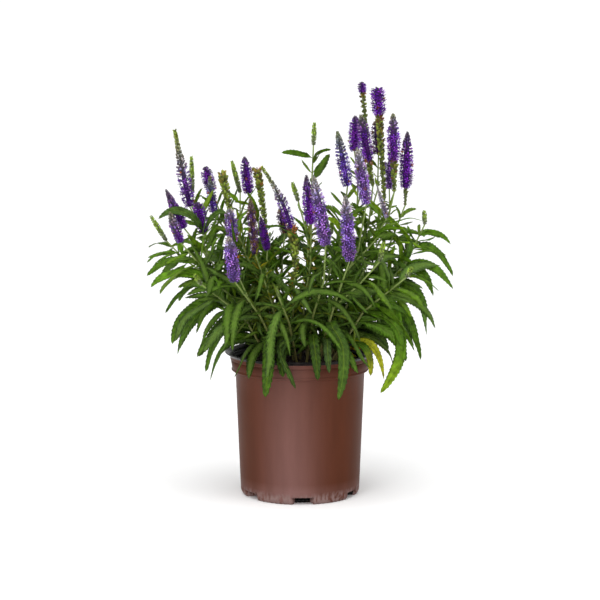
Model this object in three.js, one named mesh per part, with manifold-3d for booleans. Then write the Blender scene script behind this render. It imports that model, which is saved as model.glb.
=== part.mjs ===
// Potted speedwell: a flowering clump of Veronica in a thermoformed nursery pot.
// Millimetres, +Z up, the front of the pot faces -Y. The origin is on the pot's axis, at the surface it stands on.
import * as THREE from "three";
import { mergeVertices } from "three/addons/utils/BufferGeometryUtils.js";
import Module from "manifold-3d";

const wasm = await Module();
wasm.setup();

// Pot
const POT = {
  height: 169.7,
  lipRadius: 88.5,
  lipThick: 1.2,
  bandRadius: 79.9,
  bandTopRadius: 82.6,
  bandHeight: 20,
  bandStep: 3.5, // height of the slope between the body and the band
  bandNeck: 6, // how far below the band the body ends
  lipRise: 5, // height over which the lip flares out
  bodyTopRadius: 76.1,
  bodyBottomRadius: 70.4,
  cornerHeight: 5,
  footOuter: 67,
  footInner: 55,
  footSlope: 3, // width of the slope inside the foot
  floorRise: 2,
  wall: 1.6,
  sides: 24,
};
const NOTCH = {
  count: 6,
  turn: 3, // degrees that the front notch lies off the front
  width: 23,
  height: 8.5,
  reach: 11,
  past: 12, // how far its cut runs past the foot, and below it
  slotWidth: 15,
  slotHeight: 3,
  slotDepth: 8,
  slotDrop: 0.5,
};

// Potting mix
const MIX = { level: 157, edgeDrop: 2, crown: 5, lump: 1.6, lumpX: 9, lumpY: 11, gap: 0.35, sides: 12 };
const TWIG = { from: [-62, -30], to: [-38, -50], radius: 1.4, thinner: 0.4, crook: 0.45, arch: 1, sides: 5 };
const CLEAR = 0.3; // gap between pieces that touch
const SETTLE = { above: 12, steps: 12, reach: 30 }; // where what lies on the mix starts, and how it is let down

// Stems: rise and pull are how strongly a stem keeps its direction at its foot and at its neck
const STEM = { depth: 14, above: 1.5, foot: 1.9, neck: 1.15, side: 1.3, sides: 4, step: 60, rise: 0.42, pull: 0.3 };
const PAIRS = { mainFrom: 0.08, mainTo: 0.9, sideFrom: 0.3, sideTo: 0.8, wander: 0.2 };

// Leaves
const LEAF = {
  long: 92,
  short: 34,
  lowest: 215, // the height up to which they are long
  highest: 345, // the height from which they are short
  slim: 0.084, // half the width over the length
  fold: 0.12, // rise of the edges over half the width
  keel: 0.75,
  tooth: 0.22, // depth of a tooth over half the width
  root: 0.6,
  steps: 24,
  stations: [0, 1.6, 7, 12, 17.5],
  fewStations: [0, 2, 9, 16],
  manyOver: 50, // the length over which a leaf has the longer list of stations
  droop: 2,
  sag: 1.6, // how much faster than its length a leaf's droop grows
  size: [0.74, 1.1],
  open: [28, 52],
  weight: [0.8, 1.25],
  twist: [-0.9, 0.9],
  curl: [-0.5, 0.5],
};
// Each leaf takes the first of these that clears its neighbours: a turn about the stem in degrees, a share of the
// droop and a share of the length.
const LEAF_TRIES = [
  [0, 1, 1],
  [16, 1, 1],
  [-16, 1, 1],
  [32, 0.8, 1],
  [-32, 0.8, 1],
  [8, 0.55, 0.92],
  [-24, 1.2, 0.85],
];

// Flower spikes: valley is how deep the gaps between the florets go, as a share of the spike's radius
const FLORET = { pitch: 6.3, valley: 0.55, sides: 8, thinSides: 6, thinUnder: 5, base: 0.72, tipShare: 0.28 };
const CAPSULE = { pitch: 6.5, girth: 4.7, valley: 0.5, sides: 4 };
const BUD = { pitch: 8, girth: 2.8, valley: 0.7, sides: 4 };
const SPIKE_TIP = 1.5;

// The plant. A stem is its foot on the mix and its axes. The first axis rises from the foot, and each further one
// leaves the first at the share `from` of its length. An axis runs to its neck, and from there to its end it is
// spike: first spent, which is capsules, and then bloom, of the radius girth. bow is how far the spike's middle lies
// off a straight line, taper is the share of the bloom that narrows into the buds. pairs counts the leaf pairs.
// aimed are the large outer leaves that give the clump its outline: the share of the axis that each grows at, the
// point that it arches towards, its tip, and its roll in degrees.
const STEMS = [
  {
    foot: [26, 24],
    axes: [
      { neck: [81, 75, 413], end: [74, 75, 484], spent: 0.82, girth: 6, taper: 0.4, pairs: 4 },
      { from: 0.66, neck: [65, 55, 402], end: [66, 55, 444], girth: 8.5, taper: 0.3, pairs: 1 },
    ],
  },
  {
    foot: [36, 4],
    axes: [
      { neck: [99, 10, 347], end: [90, 10, 478], spent: 0.76, girth: 9.3, taper: 0.12, pairs: 4 },
    ],
  },
  {
    foot: [27, 12],
    axes: [
      { neck: [86, 25, 362], end: [71, 25, 446], spent: 0.36, girth: 9, taper: 0.4, pairs: 4 },
      { from: 0.7, neck: [94, 60, 398], end: [91, 60, 438], girth: 8, taper: 0.2, pairs: 1 },
    ],
  },
  {
    foot: [24, -12],
    axes: [
      { neck: [76, -40, 346], end: [65, -40, 410], girth: 8.6, taper: 0.45, pairs: 4 },
      { from: 0.55, neck: [100, -30, 329], end: [88, -30, 368], girth: 4, taper: 0.7, pairs: 1 },
    ],
  },
  {
    foot: [14, -2],
    axes: [{ neck: [55, -15, 365], end: [43, -15, 428], girth: 8.6, taper: 0.5, pairs: 4 }],
  },
  {
    foot: [42, -8],
    axes: [
      { neck: [110, 0, 357], end: [108, 0, 448], spent: 0.4, girth: 9.2, taper: 0.45, pairs: 4 },
      { from: 0.72, neck: [106, 36, 358], end: [107, 37, 396], girth: 8, taper: 0.2, pairs: 1 },
    ],
  },
  {
    foot: [45, 12],
    axes: [{ neck: [124, 20, 340], end: [126, 20, 426], spent: 0.24, girth: 9.2, taper: 0.45, pairs: 4 }],
  },
  {
    foot: [50, -2],
    axes: [
      {
        neck: [147, 14, 318],
        end: [146, 14, 334],
        bud: true,
        pairs: 4,
        aimed: [
          [0.35, [125, -12, 240], [138, -20, 175], 45],
          [0.5, [146, 12, 262], [150, 10, 187], 50],
          [0.65, [155, -4, 285], [179, -10, 244], 45],
          [0.8, [165, 18, 300], [181, 20, 256], 50],
          [0.9, [160, 0, 318], [176, -5, 296], 40],
        ],
      },
    ],
  },
  {
    foot: [38, -24],
    axes: [
      {
        neck: [122, -46, 262],
        end: [128, -49, 274],
        bud: true,
        pairs: 4,
        aimed: [
          [0.8, [124, -52, 190], [93, -50, 128], 80],
          [0.15, [84, -56, 194], [81, -62, 150], 20],
          [0.5, [112, -55, 222], [117, -62, 184], 40],
        ],
      },
    ],
  },
  {
    foot: [40, 30],
    axes: [
      {
        neck: [126, 66, 276],
        end: [132, 69, 288],
        bud: true,
        pairs: 3,
        aimed: [
          [0.35, [120, 30, 240], [144, 22, 155], 50],
          [0.8, [150, 50, 275], [160, 44, 229], 40],
        ],
      },
    ],
  },
  {
    foot: [8, 14],
    axes: [
      {
        neck: [16, 40, 410],
        end: [17, 40, 436],
        bud: true,
        pairs: 4,
        aimed: [
          [0.93, [-4, 34, 404], [-22, 30, 401], -30],
          [0.93, [26, 38, 408], [37, 40, 404], 30],
          [0.8, [24, 34, 382], [35, 26, 400], 60],
        ],
      },
    ],
  },
  {
    foot: [0, -12],
    axes: [
      { neck: [13, -45, 323], end: [7, -45, 379], girth: 8.6, taper: 0.5, pairs: 4 },
      { from: 0.55, neck: [-2, 2, 346], end: [-9, 4, 368], bud: true, pairs: 1 },
    ],
  },
  {
    foot: [8, -26],
    axes: [
      {
        neck: [29, -80, 302],
        end: [15, -80, 380],
        girth: 9.5,
        taper: 0.4,
        pairs: 3,
        aimed: [[0.15, [16, -80, 212], [20, -104, 152], 0]],
      },
    ],
  },
  {
    foot: [20, -30],
    axes: [
      {
        neck: [56, -75, 284],
        end: [51, -75, 358],
        girth: 9.2,
        taper: 0.4,
        pairs: 3,
        aimed: [
          [0.15, [32, -78, 212], [33, -102, 160], 0],
          [0.35, [40, -96, 222], [43, -106, 130], 10],
        ],
      },
      { from: 0.5, neck: [90, -82, 284], end: [94, -84, 306], bud: true, pairs: 1 },
    ],
  },
  {
    foot: [-8, -22],
    axes: [
      { neck: [-6, -35, 260], end: [-44, -35, 388], bow: [13, 0], spent: 0.45, girth: 6, taper: 0.75, pairs: 3 },
    ],
  },
  {
    foot: [-18, -12],
    axes: [
      { neck: [-51, -52, 289], end: [-57, -52, 354], girth: 6, taper: 0.3, pairs: 3 },
      { from: 0.6, neck: [-38, -14, 290], end: [-46, -14, 330], girth: 5.5, taper: 0.4, pairs: 1 },
    ],
  },
  {
    foot: [-8, 8],
    axes: [
      { neck: [-40, 18, 312], end: [-50, 18, 382], spent: 1, pairs: 3 },
      { from: 0.7, neck: [-61, 42, 352], end: [-66, 42, 396], girth: 8, taper: 0.35, pairs: 1 },
      { from: 0.48, neck: [-18, 30, 306], end: [-24, 30, 336], girth: 7, taper: 0.35, pairs: 1 },
    ],
  },
  {
    foot: [-24, 6],
    axes: [
      { neck: [-78, -5, 322], end: [-91, -5, 380], spent: 1, pairs: 4 },
      { from: 0.72, neck: [-72, 66, 352], end: [-82, 66, 390], bud: true, pairs: 1 },
    ],
  },
  {
    foot: [-22, -26],
    axes: [
      {
        neck: [-73, -91, 262],
        end: [-80, -91, 313],
        girth: 8.8,
        taper: 0.3,
        pairs: 3,
        aimed: [[0.15, [-38, -85, 215], [-39, -106, 133], 0]],
      },
      { from: 0.7, neck: [-76, -58, 304], end: [-80, -58, 342], girth: 8, taper: 0.3, pairs: 1 },
    ],
  },
  {
    foot: [-34, 14],
    axes: [
      {
        neck: [-130, 20, 338],
        end: [-147, 20, 428],
        girth: 7.6,
        taper: 0.75,
        pairs: 4,
        aimed: [[0.35, [-125, 20, 235], [-146, 20, 162], -50]],
      },
      { from: 0.75, neck: [-129, 58, 352], end: [-130, 58, 396], bud: true, pairs: 1 },
    ],
  },
  {
    foot: [-26, 26],
    axes: [
      { neck: [-108, 88, 352], end: [-115, 88, 382], girth: 8.6, taper: 0.3, pairs: 4 },
      { from: 0.7, neck: [-104, 48, 330], end: [-108, 48, 372], girth: 7, taper: 0.6, pairs: 1 },
    ],
  },
  {
    foot: [-40, 0],
    axes: [
      {
        neck: [-134, -20, 316],
        end: [-155, -20, 361],
        girth: 7.5,
        taper: 0.6,
        pairs: 4,
        aimed: [
          [0.15, [-95, -6, 215], [-111, -10, 146], -50],
          [0.35, [-130, -10, 245], [-150, -10, 179], -50],
          [0.5, [-130, -16, 262], [-157, -20, 217], -45],
        ],
      },
      { from: 0.72, neck: [-112, -2, 310], end: [-120, -2, 345], girth: 8.4, taper: 0.25, pairs: 1 },
    ],
  },
  {
    foot: [-40, -14],
    axes: [
      {
        neck: [-136, -48, 302],
        end: [-149, -48, 337],
        girth: 7.5,
        taper: 0.25,
        pairs: 4,
        aimed: [
          [0.65, [-145, -48, 278], [-171, -50, 251], -40],
          [0.8, [-150, -36, 290], [-178, -22, 261], -40],
        ],
      },
      {
        from: 0.66,
        neck: [-157, 8, 299],
        end: [-175, 8, 328],
        bud: true,
        pairs: 1,
        aimed: [
          [0.65, [-162, -10, 292], [-179, -10, 275], -30],
          [0.8, [-165, 18, 300], [-180, 30, 289], -30],
        ],
      },
    ],
  },
  {
    foot: [-34, -30],
    axes: [
      {
        neck: [-112, -66, 256],
        end: [-120, -70, 268],
        bud: true,
        pairs: 4,
        aimed: [[0.25, [-85, -42, 205], [-104, -45, 142], -35]],
      },
    ],
  },
  {
    foot: [-36, 34],
    axes: [{ neck: [-122, 70, 276], end: [-130, 73, 290], bud: true, pairs: 4 }],
  },
  {
    foot: [-4, -38],
    axes: [
      {
        neck: [-24, -96, 246],
        end: [-26, -104, 258],
        bud: true,
        pairs: 3,
        aimed: [
          [0.15, [-18, -80, 200], [-19, -100, 155], 0],
          [0.3, [-12, -88, 214], [-5, -108, 143], 0],
        ],
      },
    ],
  },
  {
    foot: [10, 36],
    axes: [{ neck: [38, 90, 300], end: [40, 96, 318], bud: true, pairs: 3 }],
  },
  {
    foot: [-12, 36],
    axes: [{ neck: [-46, 98, 292], end: [-50, 105, 310], bud: true, pairs: 3 }],
  },
];

const material = (color, roughness) => new THREE.MeshStandardMaterial({ color, roughness, metalness: 0 });
const FINISH = {
  pot: material(0x6f4438, 0.45),
  mix: material(0x211a16, 0.95),
  twig: material(0x8c8074, 0.9),
  leaf: material(0x477a2e, 0.6),
  bloom: material(0x5b2c9a, 0.7),
};

const UP = new THREE.Vector3(0, 0, 1);
const vec = (p) => new THREE.Vector3(...p);
const radians = THREE.MathUtils.degToRad;

// Seeded draws between two limits.
let state = 20;
function draw(low, high) {
  state = (state * 1664525 + 1013904223) % 4294967296;
  return low + ((high - low) * state) / 4294967296;
}
for (const stem of STEMS) stem.spin = draw(0, Math.PI / 2); // how far each stem is turned about itself

// A closed geometry as a solid.
function solidOf(geometry) {
  geometry.deleteAttribute("normal");
  geometry.deleteAttribute("uv");
  const merged = mergeVertices(geometry, 1e-4);
  return new wasm.Manifold(
    new wasm.Mesh({
      numProp: 3,
      vertProperties: merged.attributes.position.array,
      triVerts: new Uint32Array(merged.index.array),
    }),
  );
}

// Solids joined in one body, with the hollows that joining seals filled.
function fuse(parts) {
  const shells = wasm.Manifold.union(parts).decompose();
  return shells.reduce((a, b) => (b.volume() > a.volume() ? b : a));
}

// A solid as a named mesh.
function meshOf(solid, name, finish) {
  const { vertProperties, triVerts } = solid.getMesh();
  const geometry = new THREE.BufferGeometry()
    .setAttribute("position", new THREE.BufferAttribute(vertProperties, 3))
    .setIndex(new THREE.BufferAttribute(triVerts, 1));
  geometry.computeVertexNormals();
  const mesh = new THREE.Mesh(geometry, finish);
  mesh.name = name;
  return mesh;
}

// A solid through rings of points, all of one count. A tip, when given, closes the last ring to a point. Each quad is
// split along its lower-to-upper diagonal, or where `crisp` is set along the diagonal that joins its two even corners,
// so that every odd corner stands up as a point of four faces.
function loft(rings, { tip = null, crisp = false } = {}) {
  const n = rings[0].length;
  const points = rings.flat();
  const faces = [];
  for (let j = 0; j + 1 < rings.length; j++)
    for (let i = 0; i < n; i++) {
      const [a, b] = [j * n + i, j * n + ((i + 1) % n)];
      const [d, c] = [a + n, b + n];
      if (crisp && (i + j) % 2) faces.push(a, b, c, a, c, d);
      else faces.push(a, b, d, b, c, d);
    }
  for (let i = 2; i < n; i++) faces.push(0, i, i - 1);
  const last = (rings.length - 1) * n;
  if (tip) {
    for (let i = 0; i < n; i++) faces.push(last + i, last + ((i + 1) % n), points.length);
    points.push(tip);
  } else for (let i = 2; i < n; i++) faces.push(last, last + i - 1, last + i);
  const geometry = new THREE.BufferGeometry().setFromPoints(points).setIndex(faces);
  return solidOf(geometry);
}

// The direction at a bearing about an axis, measured from the side that faces +X.
function outFrom(along, bearing) {
  const u = new THREE.Vector3(1, 0, 0).addScaledVector(along, -along.x).normalize();
  const v = new THREE.Vector3().crossVectors(along, u);
  return u.multiplyScalar(Math.cos(bearing)).addScaledVector(v, Math.sin(bearing));
}

// A ring of points about an axis, the first at the bearing `spin`; radiusAt gives each point's distance from it.
function ring(centre, along, sides, radiusAt, spin = 0) {
  return Array.from({ length: sides }, (_, i) =>
    centre.clone().addScaledVector(outFrom(along, spin + (2 * Math.PI * i) / sides), radiusAt(i)),
  );
}

// The lathe solid of a closed profile of [radius, height] points.
function lathe(profile, sides) {
  const geometry = new THREE.LatheGeometry(
    profile.map(([r, z]) => new THREE.Vector2(r, z)),
    sides,
  );
  return solidOf(geometry.rotateX(Math.PI / 2));
}

// A box for each drain notch, grown by `more` on its sides and top.
function notchBoxes(more) {
  const { count, width, height, reach, past } = NOTCH;
  const outer = POT.footOuter + past;
  const inner = POT.footOuter - reach - more;
  return Array.from({ length: count }, (_, k) => {
    const tall = height + more + past;
    const box = new THREE.BoxGeometry(outer - inner, width + 2 * more, tall);
    box.translate((outer + inner) / 2, 0, tall / 2 - past);
    return solidOf(box.rotateZ(notchBearing(k)));
  });
}

// The bearing of a drain notch.
function notchBearing(k) {
  return radians(-90 + NOTCH.turn + (360 / NOTCH.count) * k);
}

// The inside of the pot.
function potInside() {
  const w = POT.wall;
  const top = POT.height + 1;
  const band = POT.height - POT.bandHeight;
  return lathe(
    [
      [0, POT.floorRise + w],
      [POT.footOuter - w, POT.floorRise + w],
      [POT.bodyBottomRadius - w, POT.cornerHeight + w],
      [POT.bodyTopRadius - w, band - POT.bandNeck],
      [POT.bandRadius - w, band],
      [POT.bandTopRadius - w, POT.height - POT.lipRise],
      [POT.lipRadius - w, POT.height],
      [POT.lipRadius - w, top],
      [0, top],
    ],
    POT.sides,
  );
}

// The pot: a formed shell with a flared lip, a rim band, and six drain notches between its feet.
function buildPot() {
  const band = POT.height - POT.bandHeight;
  let shell = lathe(
    [
      [0, POT.floorRise],
      [POT.footInner - POT.footSlope, POT.floorRise],
      [POT.footInner, 0],
      [POT.footOuter, 0],
      [POT.bodyBottomRadius, POT.cornerHeight],
      [POT.bodyTopRadius, band - POT.bandNeck],
      [POT.bandRadius, band - POT.bandStep],
      [POT.bandTopRadius, POT.height - POT.lipRise],
      [POT.lipRadius, POT.height - POT.lipThick],
      [POT.lipRadius, POT.height],
      [0, POT.height],
    ],
    POT.sides,
  );
  let inside = potInside();
  for (const box of notchBoxes(0)) shell = shell.subtract(box);
  for (const box of notchBoxes(POT.wall)) inside = inside.subtract(box);
  let pot = shell.subtract(inside);
  const { count, reach, height, slotDepth, slotWidth, slotHeight, slotDrop } = NOTCH;
  for (let k = 0; k < count; k++) {
    const slot = new THREE.BoxGeometry(slotDepth, slotWidth, slotHeight);
    slot.translate(POT.footOuter - reach, 0, height - slotHeight / 2 - slotDrop);
    pot = pot.subtract(solidOf(slot.rotateZ(notchBearing(k))));
  }
  return pot;
}

// Height of the mix at a place on its surface.
function mixLevel(x, y) {
  const out = Math.hypot(x, y) / POT.bandRadius;
  return MIX.level + MIX.crown * (1 - out * out) + MIX.lump * Math.sin(x / MIX.lumpX) * Math.cos(y / MIX.lumpY);
}

// The potting mix: it fills the pot, with a lumpy top and a plain hole for each stem.
function buildMix() {
  const w = POT.wall + MIX.gap;
  const band = POT.height - POT.bandHeight;
  const edge = POT.bandRadius - w;
  const profile = [
    [0, POT.floorRise + w],
    [POT.footOuter - w - MIX.gap, POT.floorRise + w],
    [POT.bodyBottomRadius - w, POT.cornerHeight + w],
    [POT.bodyTopRadius - w, band - POT.bandNeck],
    [edge, band],
    [edge, MIX.level - MIX.edgeDrop],
    [(edge * 2) / 3, MIX.level],
    [edge / 3, MIX.level],
    [0, MIX.level],
  ];
  const geometry = new THREE.LatheGeometry(
    profile.map(([r, z]) => new THREE.Vector2(r, z)),
    MIX.sides,
  ).rotateX(Math.PI / 2);
  const at = geometry.attributes.position;
  for (let i = 0; i < at.count; i++)
    if (at.getZ(i) === MIX.level) at.setZ(i, mixLevel(at.getX(i), at.getY(i)));
  let mix = solidOf(geometry);
  for (const box of notchBoxes(POT.wall + MIX.gap)) mix = mix.subtract(box);
  for (const stem of STEMS) mix = mix.subtract(footHole(stem));
  return mix;
}

// The plain hole that a stem stands in.
function footHole({ foot: [x, y], spin }) {
  const ends = [mixLevel(x, y) - STEM.depth - CLEAR, MIX.level + SETTLE.above];
  const radius = STEM.foot + CLEAR * 1.5;
  return loft(ends.map((z) => ring(new THREE.Vector3(x, y, z), UP, STEM.sides, () => radius, spin)));
}

// The dry twig: it is let down until it lies on the mix.
function buildTwig(mix) {
  const [from, to] = [TWIG.from, TWIG.to].map(([x, y]) => new THREE.Vector3(x, y, MIX.level + SETTLE.above));
  const along = to.clone().sub(from).normalize();
  const rings = [0, TWIG.crook, 1].map((t) => {
    const centre = from.clone().lerp(to, t).addScaledVector(UP, t === TWIG.crook ? TWIG.arch : 0);
    return ring(centre, along, TWIG.sides, () => TWIG.radius * (1 - TWIG.thinner * t));
  });
  let twig = loft(rings);
  for (let k = 0; k < SETTLE.steps; k++) twig = twig.translate(0, 0, CLEAR - twig.minGap(mix, SETTLE.reach));
  return twig;
}

// The curve of an axis up to its neck, and of its spike from there to its end.
function axisCurves(axis, start, heading) {
  const neck = vec(axis.neck);
  const end = vec(axis.end);
  const bow = axis.bow ?? [0, 0];
  const middle = neck.clone().add(end).multiplyScalar(0.5).add(new THREE.Vector3(2 * bow[0], 2 * bow[1], 0));
  const spike = new THREE.QuadraticBezierCurve3(neck, middle, end);
  const reach = neck.distanceTo(start);
  const leave = middle.clone().sub(neck).normalize();
  const stem = new THREE.CubicBezierCurve3(
    start,
    start.clone().addScaledVector(heading, STEM.rise * reach),
    neck.clone().addScaledVector(leave, -STEM.pull * reach),
    neck,
  );
  return { stem, spike };
}

// How many straight pieces a stalk along a curve has.
const stalkSteps = (curve) => Math.max(2, Math.round(curve.getLength() / STEM.step));

// The place and direction at a share of a stalk, on the straight pieces that it is made of.
function onStalk(curve, t) {
  const steps = stalkSteps(curve);
  const k = Math.min(steps - 1, Math.floor(t * steps));
  const low = curve.getPoint(k / steps);
  const high = curve.getPoint((k + 1) / steps);
  return { point: low.clone().lerp(high, t * steps - k), along: high.sub(low).normalize() };
}

// A stalk along a curve. `below`, when given, is how far it runs straight down from the curve's start.
function stalk(curve, spin, rootRadius, endRadius, below = 0) {
  const steps = stalkSteps(curve);
  const rings = [];
  const foot = curve.getPoint(0).addScaledVector(UP, -below);
  if (below) rings.push(ring(foot, UP, STEM.sides, () => rootRadius, spin));
  for (let k = 0; k <= steps; k++) {
    const t = k / steps;
    const r = rootRadius + (endRadius - rootRadius) * t;
    rings.push(ring(curve.getPoint(t), curve.getTangent(t), STEM.sides, () => r, spin));
  }
  return loft(rings);
}

// A knobbly stretch of a spike between two shares of its curve: every second point of its grid stands out as a
// floret or a capsule.
function knobs(curve, from, to, { pitch, valley, sides }, girthAt, pointed) {
  const rows = Math.max(2, Math.round(((to - from) * curve.getLength()) / pitch));
  const rings = [];
  for (let j = 0; j <= rows; j++) {
    const t = from + ((to - from) * j) / rows;
    const r = girthAt(j / rows);
    rings.push(ring(curve.getPoint(t), curve.getTangent(t), sides, (i) => ((i + j) % 2 ? r : r * valley)));
  }
  const tip = pointed ? curve.getPoint(1).addScaledVector(curve.getTangent(1), SPIKE_TIP) : null;
  return loft(rings, { tip, crisp: true });
}

// The bloom of an axis, from the end of its spent stretch to its tip.
function bloomOf(axis, curve) {
  const spent = axis.spent ?? 0;
  const from = spent + CLEAR / curve.getLength();
  const sides = axis.girth > FLORET.thinUnder ? FLORET.sides : FLORET.thinSides;
  const girthAt = (s) => {
    const narrowed = Math.max(0, (s - 1 + axis.taper) / axis.taper);
    const rise = Math.min(1, FLORET.base + s * 2);
    return axis.girth * rise * (1 - (1 - FLORET.tipShare) * narrowed);
  };
  return knobs(curve, from, 1, { ...FLORET, sides }, girthAt, true);
}

// The midline of a leaf, as points and sideways directions from its root to its tip. It leaves the stem along
// `outward`, and its own weight turns it down.
function leafSpine(root, outward, across, length, droop, twist, curl) {
  const step = length / LEAF.steps;
  const spine = [{ point: root.clone(), side: across.clone(), along: outward.clone() }];
  const along = outward.clone();
  const side = across.clone();
  const point = root.clone();
  for (let k = 1; k <= LEAF.steps; k++) {
    along.z -= droop / LEAF.steps;
    along.addScaledVector(side, curl / LEAF.steps).normalize();
    side.addScaledVector(along, -side.dot(along)).normalize();
    side.applyAxisAngle(along, twist / LEAF.steps);
    point.addScaledVector(along, step);
    spine.push({ point: point.clone(), side: side.clone(), along: along.clone() });
  }
  return spine;
}

// The midline of an aimed leaf, which arches from its root towards one point and ends at its tip.
function archSpine(arch, roll) {
  const rising = arch.v1.clone().sub(arch.v0);
  const flat = arch.v2.clone().sub(arch.v1).cross(rising).normalize();
  return Array.from({ length: LEAF.steps + 1 }, (_, k) => {
    const along = arch.getTangent(k / LEAF.steps);
    const side = flat.clone().applyAxisAngle(along, roll);
    return { point: arch.getPoint(k / LEAF.steps), side, along };
  });
}

// Half the width of a blade, as a share of its widest, at a share of its length.
function bladeWidth(s) {
  return Math.max(0.09, Math.sin(Math.PI * Math.pow(s, 0.72)) ** 0.9);
}

// A leaf's solid: the stations of its spine carry a three-cornered section, whose edges stand out at every second
// station as teeth. The first station is the root, inside the stem, and the outer part starts at the second.
function leafRings(spine, length) {
  const half = length * LEAF.slim;
  const stations = length > LEAF.manyOver ? LEAF.stations : LEAF.fewStations;
  return stations.map((at, k) => {
    const low = spine[Math.floor(at)];
    const high = spine[Math.ceil(at)];
    const centre = low.point.clone().lerp(high.point, at % 1);
    const normal = new THREE.Vector3().crossVectors(low.side, low.along);
    const stalk = k < 2; // the leaf's own short stalk
    const width = stalk ? 0 : half * bladeWidth(at / LEAF.steps);
    const edge = (odd) => (stalk ? LEAF.root : width * ((k + odd) % 2 ? 1 - LEAF.tooth : 1));
    const lift = width * LEAF.fold;
    const keel = k ? LEAF.keel : LEAF.root;
    return [
      centre.clone().addScaledVector(low.side, -edge(1)).addScaledVector(normal, lift),
      centre.clone().addScaledVector(low.side, edge(0)).addScaledVector(normal, lift),
      centre.clone().addScaledVector(normal, -keel),
    ];
  });
}

// Length of a leaf that grows at a height.
function leafLength(z) {
  const share = THREE.MathUtils.clamp((z - LEAF.lowest) / (LEAF.highest - LEAF.lowest), 0, 1);
  return LEAF.long + (LEAF.short - LEAF.long) * share;
}

const bodies = []; // what stands already: { box, solid, node }
function place(solid, node) {
  bodies.push({ box: solid.boundingBox(), solid, node });
  return solid;
}

// Whether a solid keeps its gap to what stands already, in its own node or in the others.
function isClear(solid, node, own) {
  const box = solid.boundingBox();
  return bodies.every((body) => {
    if ((body.node === node) !== own) return true;
    const apart = [0, 1, 2].some(
      (k) => box.min[k] > body.box.max[k] + CLEAR || body.box.min[k] > box.max[k] + CLEAR,
    );
    return apart || solid.minGap(body.solid, 2 * CLEAR) > CLEAR;
  });
}

// One leaf at a place on a stem, or null where nothing clears.
function growLeaf(node, root, along, bearing) {
  const size = leafLength(root.z) * draw(...LEAF.size);
  const open = radians(draw(...LEAF.open));
  const weight = draw(...LEAF.weight) * LEAF.droop;
  const twist = draw(...LEAF.twist);
  const curl = draw(...LEAF.curl);
  for (const [turn, sag, share] of LEAF_TRIES) {
    const out = outFrom(along, bearing + radians(turn));
    const across = new THREE.Vector3().crossVectors(along, out);
    const outward = out.multiplyScalar(Math.cos(open)).addScaledVector(along, Math.sin(open));
    const length = size * share;
    const droop = weight * sag * (length / LEAF.long) ** LEAF.sag;
    const spine = leafSpine(root, outward, across, length, droop, twist, curl);
    const rings = leafRings(spine, length);
    const tip = spine[LEAF.steps].point;
    const outer = loft(rings.slice(1), { tip });
    if (!isClear(outer, node, true)) continue;
    const leaf = loft(rings, { tip });
    if (isClear(leaf, node, false)) return leaf;
  }
  return null;
}

// The pairs of leaves of one axis, each turned a quarter from the pair below.
function growPairs(node, axis, curve, spin, lowest, highest) {
  const first = spin + Math.PI / STEM.sides;
  const leaves = [];
  for (let k = 0; k < axis.pairs; k++) {
    const t = lowest + ((highest - lowest) * (k + 0.5)) / axis.pairs;
    for (const side of [0, Math.PI]) {
      const bearing = first + side + (k * Math.PI) / 2 + draw(-PAIRS.wander, PAIRS.wander);
      const { point, along } = onStalk(curve, t);
      const grown = growLeaf(node, point, along, bearing);
      if (grown) leaves.push(place(grown, node));
    }
  }
  return leaves;
}

// The aimed leaves of one axis.
function growAimed(node, axis, curve) {
  return (axis.aimed ?? []).map(([at, over, tip, roll]) => {
    const arch = new THREE.QuadraticBezierCurve3(onStalk(curve, at).point, vec(over), vec(tip));
    const spine = archSpine(arch, radians(roll));
    return place(loft(leafRings(spine, arch.getLength()), { tip: arch.v2 }), node);
  });
}

// The frame of the plant first: every stem, spike and bud, so that the leaves can find room among them.
const pot = place(buildPot(), "pot");
const mix = place(buildMix(), "potting_mix");
const twig = place(buildTwig(mix), "dry_twig");
const number = (k) => String(k + 1).padStart(2, "0");
const blooms = [];
const plants = STEMS.map(({ foot, spin, axes }, index) => {
  const node = "leafy_stem_" + number(index);
  const [x, y] = foot;
  const ground = new THREE.Vector3(x, y, mixLevel(x, y) + STEM.above);
  const parts = [];
  const curves = [];
  for (const axis of axes) {
    const main = curves[0];
    const start = main ? onStalk(main.stem, axis.from).point : ground;
    const heading = main ? main.stem.getTangent(axis.from) : UP;
    const grown = axisCurves(axis, start, heading);
    curves.push(grown);
    const [radius, below] = main ? [STEM.side, 0] : [STEM.foot, STEM.above + STEM.depth];
    parts.push(place(stalk(grown.stem, spin, radius, STEM.neck, below), node));
    if (axis.spent) {
      const girthAt = (s) => CAPSULE.girth * Math.min(1, 0.6 + s * 3, 0.75 + (1 - s) * 1.5);
      parts.push(place(knobs(grown.spike, 0, axis.spent, CAPSULE, girthAt, axis.spent === 1), node));
    }
    if (axis.bud) {
      const girthAt = (s) => BUD.girth * Math.sin(Math.PI * (0.2 + 0.7 * s));
      parts.push(place(knobs(grown.spike, 0, 1, BUD, girthAt, true), node));
    }
    if (axis.girth) {
      const name = "flower_spike_" + number(blooms.length);
      blooms.push({ name, solid: place(bloomOf(axis, grown.spike), name) });
    }
  }
  return { node, parts, curves, axes, spin };
});
for (const { node, parts, curves, axes } of plants)
  axes.forEach((axis, k) => parts.push(...growAimed(node, axis, curves[k].stem)));
for (const { node, parts, curves, axes, spin } of plants)
  axes.forEach((axis, k) => {
    const [lowest, highest] = k ? [PAIRS.sideFrom, PAIRS.sideTo] : [PAIRS.mainFrom, PAIRS.mainTo];
    parts.push(...growPairs(node, axis, curves[k].stem, spin, lowest, highest));
  });

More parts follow.
